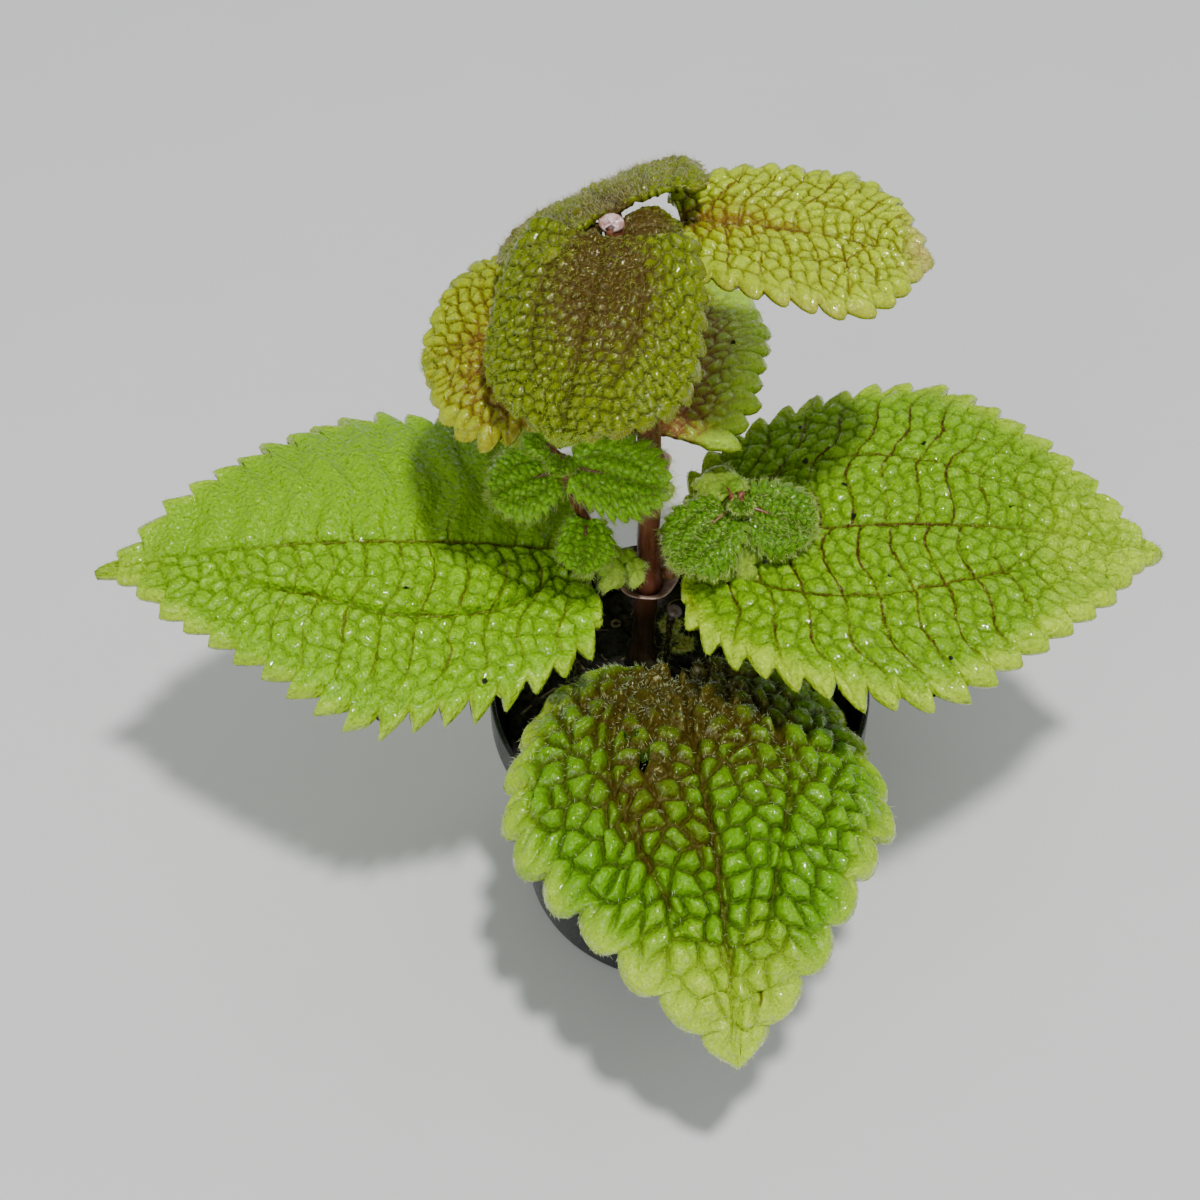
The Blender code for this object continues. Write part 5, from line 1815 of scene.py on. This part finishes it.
# %% Soil material
def make_soil_material(name, dark, light):
    material, tree, shader = new_material(name, 0.9)
    place = place_of(tree)
    share = ramp_between(tree, noise(tree, place, 700.0, 6.0, 0.7), 0.35, 0.7)
    wire(tree, blend_colours(tree, share, (*dark, 1.0), (*light, 1.0)), shader.inputs["Base Color"])
    dull = ramp_between(tree, noise(tree, place, 300.0, 3.0), 0.4, 0.6, 0.55, 0.95)
    wire(tree, dull, shader.inputs["Roughness"])
    add_relief(tree, shader, noise(tree, place, 520.0, 6.0, 0.7), 1.0, 0.0008)
    return material


soil_black = make_soil_material("soil black", (0.006, 0.005, 0.004), (0.030, 0.021, 0.014))
crumb_brown = make_soil_material("soil crumb", (0.010, 0.008, 0.006), (0.050, 0.034, 0.022))
fibre_straw = make_soil_material("straw fibre", (0.16, 0.11, 0.06), (0.36, 0.28, 0.17))
print("three soil finishes")

# %% [markdown]
# ## The plug of soil
# The top gets slow lumps that the crumbs and fibres can sit on, and quick crumbly waves besides.
# The quick waves fade out at the pot's wall, and the soil rises a little round the stem.

# %% Make the soil
CRUMBLE_WAVES = 24
CRUMBLE_HEIGHT = 0.11


def soil_height(x, y):
    """Height of the lumpy top at a place, without the fine crumbling."""
    lumps = np.sin(0.42 * x + 0.9) * np.cos(0.37 * y - 0.4) + 0.6 * np.sin(0.83 * x - 0.61 * y)
    return SOIL_TOP + SOIL_LUMP * 0.6 * lumps


def make_soil():
    low = POT_FLOOR + GAP
    rings = [(r, SOIL_TOP) for r in np.linspace(0, SOIL_RADIUS, 60)]
    foot_radius = POT_BOTTOM_RADIUS - POT_WALL - 1.2
    outline = rings + [(SOIL_RADIUS + 0.4, SOIL_TOP - 1.0), (foot_radius, low), (0.0, low)]
    soil = turned_piece("soil_plug", outline, 150, soil_black)
    stem_x, stem_y = stem_axis(SOIL_TOP)
    rng = np.random.default_rng(17)
    waves = rng.uniform(-2.4, 2.4, (CRUMBLE_WAVES, 2))
    phases = rng.uniform(0, 2 * math.pi, CRUMBLE_WAVES)
    for vertex in soil.data.vertices:
        x, y, z = vertex.co / MM
        if z > SOIL_TOP - 0.5:
            crumbly = sum(math.sin(a * x + b * y + p) for (a, b), p in zip(waves, phases)) * CRUMBLE_HEIGHT
            rim = min((SOIL_RADIUS + 0.5 - math.hypot(x, y)) / 2.0, 1.0)
            near_stem = math.exp(-((x - stem_x) ** 2 + (y - stem_y) ** 2) / 30.0)
            vertex.co.z = (soil_height(x, y) + crumbly * rim + 0.5 * near_stem) * MM
    dress(soil, "soil")
    print("soil has", len(soil.data.polygons), "faces")


make_soil()

# %% [markdown]
# ## Crumbs
# Most crumbs are small and a few are large, so the size follows a steep curve. Flat faces suit
# them, because soil breaks in corners.


# %% Make the crumbs
def make_crumbs(name, count, smallest, largest, material, seed):
    """Faceted lumps of soil, each a shaken icosahedron, joined into one piece."""
    rng = np.random.default_rng(seed)
    work = bmesh.new()
    bmesh.ops.create_icosphere(work, subdivisions=1, radius=1.0)
    ball = np.array([v.co[:] for v in work.verts])
    ball_faces = np.array([[v.index for v in f.verts] for f in work.faces])
    work.free()
    parts = []
    for _ in range(count):
        distance = SOIL_RADIUS * 0.95 * math.sqrt(rng.uniform())
        turn = rng.uniform(0, 2 * math.pi)
        x, y = distance * math.cos(turn), distance * math.sin(turn)
        size = smallest + (largest - smallest) * rng.uniform() ** 2.5
        shape = ball * (1 + rng.uniform(-0.25, 0.25, (len(ball), 1))) * rng.uniform(0.6, 1.2, 3) * size
        middle = np.array([x, y, soil_height(x, y) + size * 0.25])
        parts.append((shape + middle, ball_faces, {}))
    points, faces, _ = joined_arrays(parts)
    crumbs = mesh_piece(name, points, faces, material)
    crumbs.data.polygons.foreach_set("use_smooth", np.zeros(len(crumbs.data.polygons), dtype=bool))
    face_outward(crumbs)
    dress(crumbs, None)
    print(name, "has", count, "lumps")


make_crumbs("soil_crumbs", CRUMB_COUNT, *CRUMB_SIZES, crumb_brown, 19)

# %% [markdown]
# ## Fibres
# A fibre wanders over the lumps in a few short steps. It is left out where it would leave the pot.


# %% Make the fibres
def make_fibres(count, seed):
    """Thin bent roots on the soil, one longer straw and one curl."""
    rng = np.random.default_rng(seed)
    parts = []
    for _ in range(count):
        distance = SOIL_RADIUS * 0.9 * math.sqrt(rng.uniform())
        turn = rng.uniform(0, 2 * math.pi)
        x, y = distance * math.cos(turn), distance * math.sin(turn)
        heading = rng.uniform(0, 2 * math.pi)
        length = rng.uniform(3, 10)
        route = []
        for share in np.linspace(-0.5, 0.5, 6):
            heading += rng.normal(scale=0.25)
            px = x + math.cos(heading) * length * share
            py = y + math.sin(heading) * length * share
            if math.hypot(px, py) < SOIL_RADIUS - 1.5:
                route.append((px, py, soil_height(px, py) + rng.uniform(0.1, 0.7)))
        if len(route) > 2:
            fine = smooth_path(route, 14)
            parts.append((*tube_arrays(fine, np.full(14, rng.uniform(0.08, 0.22)), 6), {}))
    straw = [(x, y, soil_height(x, y) + 0.6) for x, y in STRAW_BENDS]
    curl_x, curl_y = CURL_PLACE
    curl_z = soil_height(curl_x, curl_y) + 0.7
    curl = [(curl_x + math.cos(t), curl_y + math.sin(t), curl_z + 0.1 * t)
            for t in np.linspace(0.4, 1.8 * math.pi, 9)]
    for route in (straw, curl):
        parts.append((*tube_arrays(smooth_path(route, 20), np.full(20, STRAW_RADIUS), 8), {}))
    points, faces, _ = joined_arrays(parts)
    dress(mesh_piece("soil_fibres", points, faces, fibre_straw), None)
    print("soil has", len(parts), "fibres")


make_fibres(FIBRE_COUNT, 29)

# %% [markdown]
# ## Floor
# A pale matt floor stands in for the room. It belongs to the picture and not to the plant, so it
# is set apart from the pieces.

# %% Floor
FLOOR_DARK = (0.80, 0.80, 0.79, 1.0)
FLOOR_LIGHT = (0.84, 0.84, 0.83, 1.0)


def make_floor():
    material, tree, shader = new_material("pale floor", 0.8)
    place = place_of(tree)
    share = noise(tree, place, 30.0, 3.0)
    wire(tree, blend_colours(tree, share, FLOOR_DARK, FLOOR_LIGHT), shader.inputs["Base Color"])
    bpy.ops.mesh.primitive_plane_add(size=6.0)
    floor = bpy.context.active_object
    floor.name = "floor"
    floor.data.materials.append(material)
    print("floor is", round(floor.dimensions.x, 1), "m wide")


make_floor()

# %% [markdown]
# ## Light
# The photograph has one small hard source nearly overhead, so the key lamp is small and bright.
# The fill and back lamps are large and soft, and the sky is weak, so that creases stay dark.

# %% Lamps
LAMP_AIM = (0.0, 0.0, 0.1)
SKY_COLOUR = (0.95, 0.98, 1.0, 1.0)
SKY_STRENGTH = 0.36


def area_lamp(name, place, size, power):
    """A round lamp that points at the plant."""
    data = bpy.data.lights.new(name, "AREA")
    data.shape = "DISK"
    data.size = size
    data.energy = power
    lamp = bpy.data.objects.new(name, data)
    lamp.location = Vector(place)
    lamp.rotation_euler = (Vector(LAMP_AIM) - Vector(place)).to_track_quat("-Z", "Y").to_euler()
    bpy.context.scene.collection.objects.link(lamp)


area_lamp("key lamp", (0.12, -0.38, 1.38), 0.10, 15.5)
area_lamp("fill lamp", (-0.5, -1.0, 0.8), 0.9, 4.0)
area_lamp("back lamp", (0.9, 0.8, 0.8), 0.8, 1.6)
world = bpy.data.worlds.new("studio")
world.use_nodes = True
set_sockets(world.node_tree.nodes["Background"], color=SKY_COLOUR, strength=SKY_STRENGTH)
bpy.context.scene.world = world
print("three lamps and a soft sky")
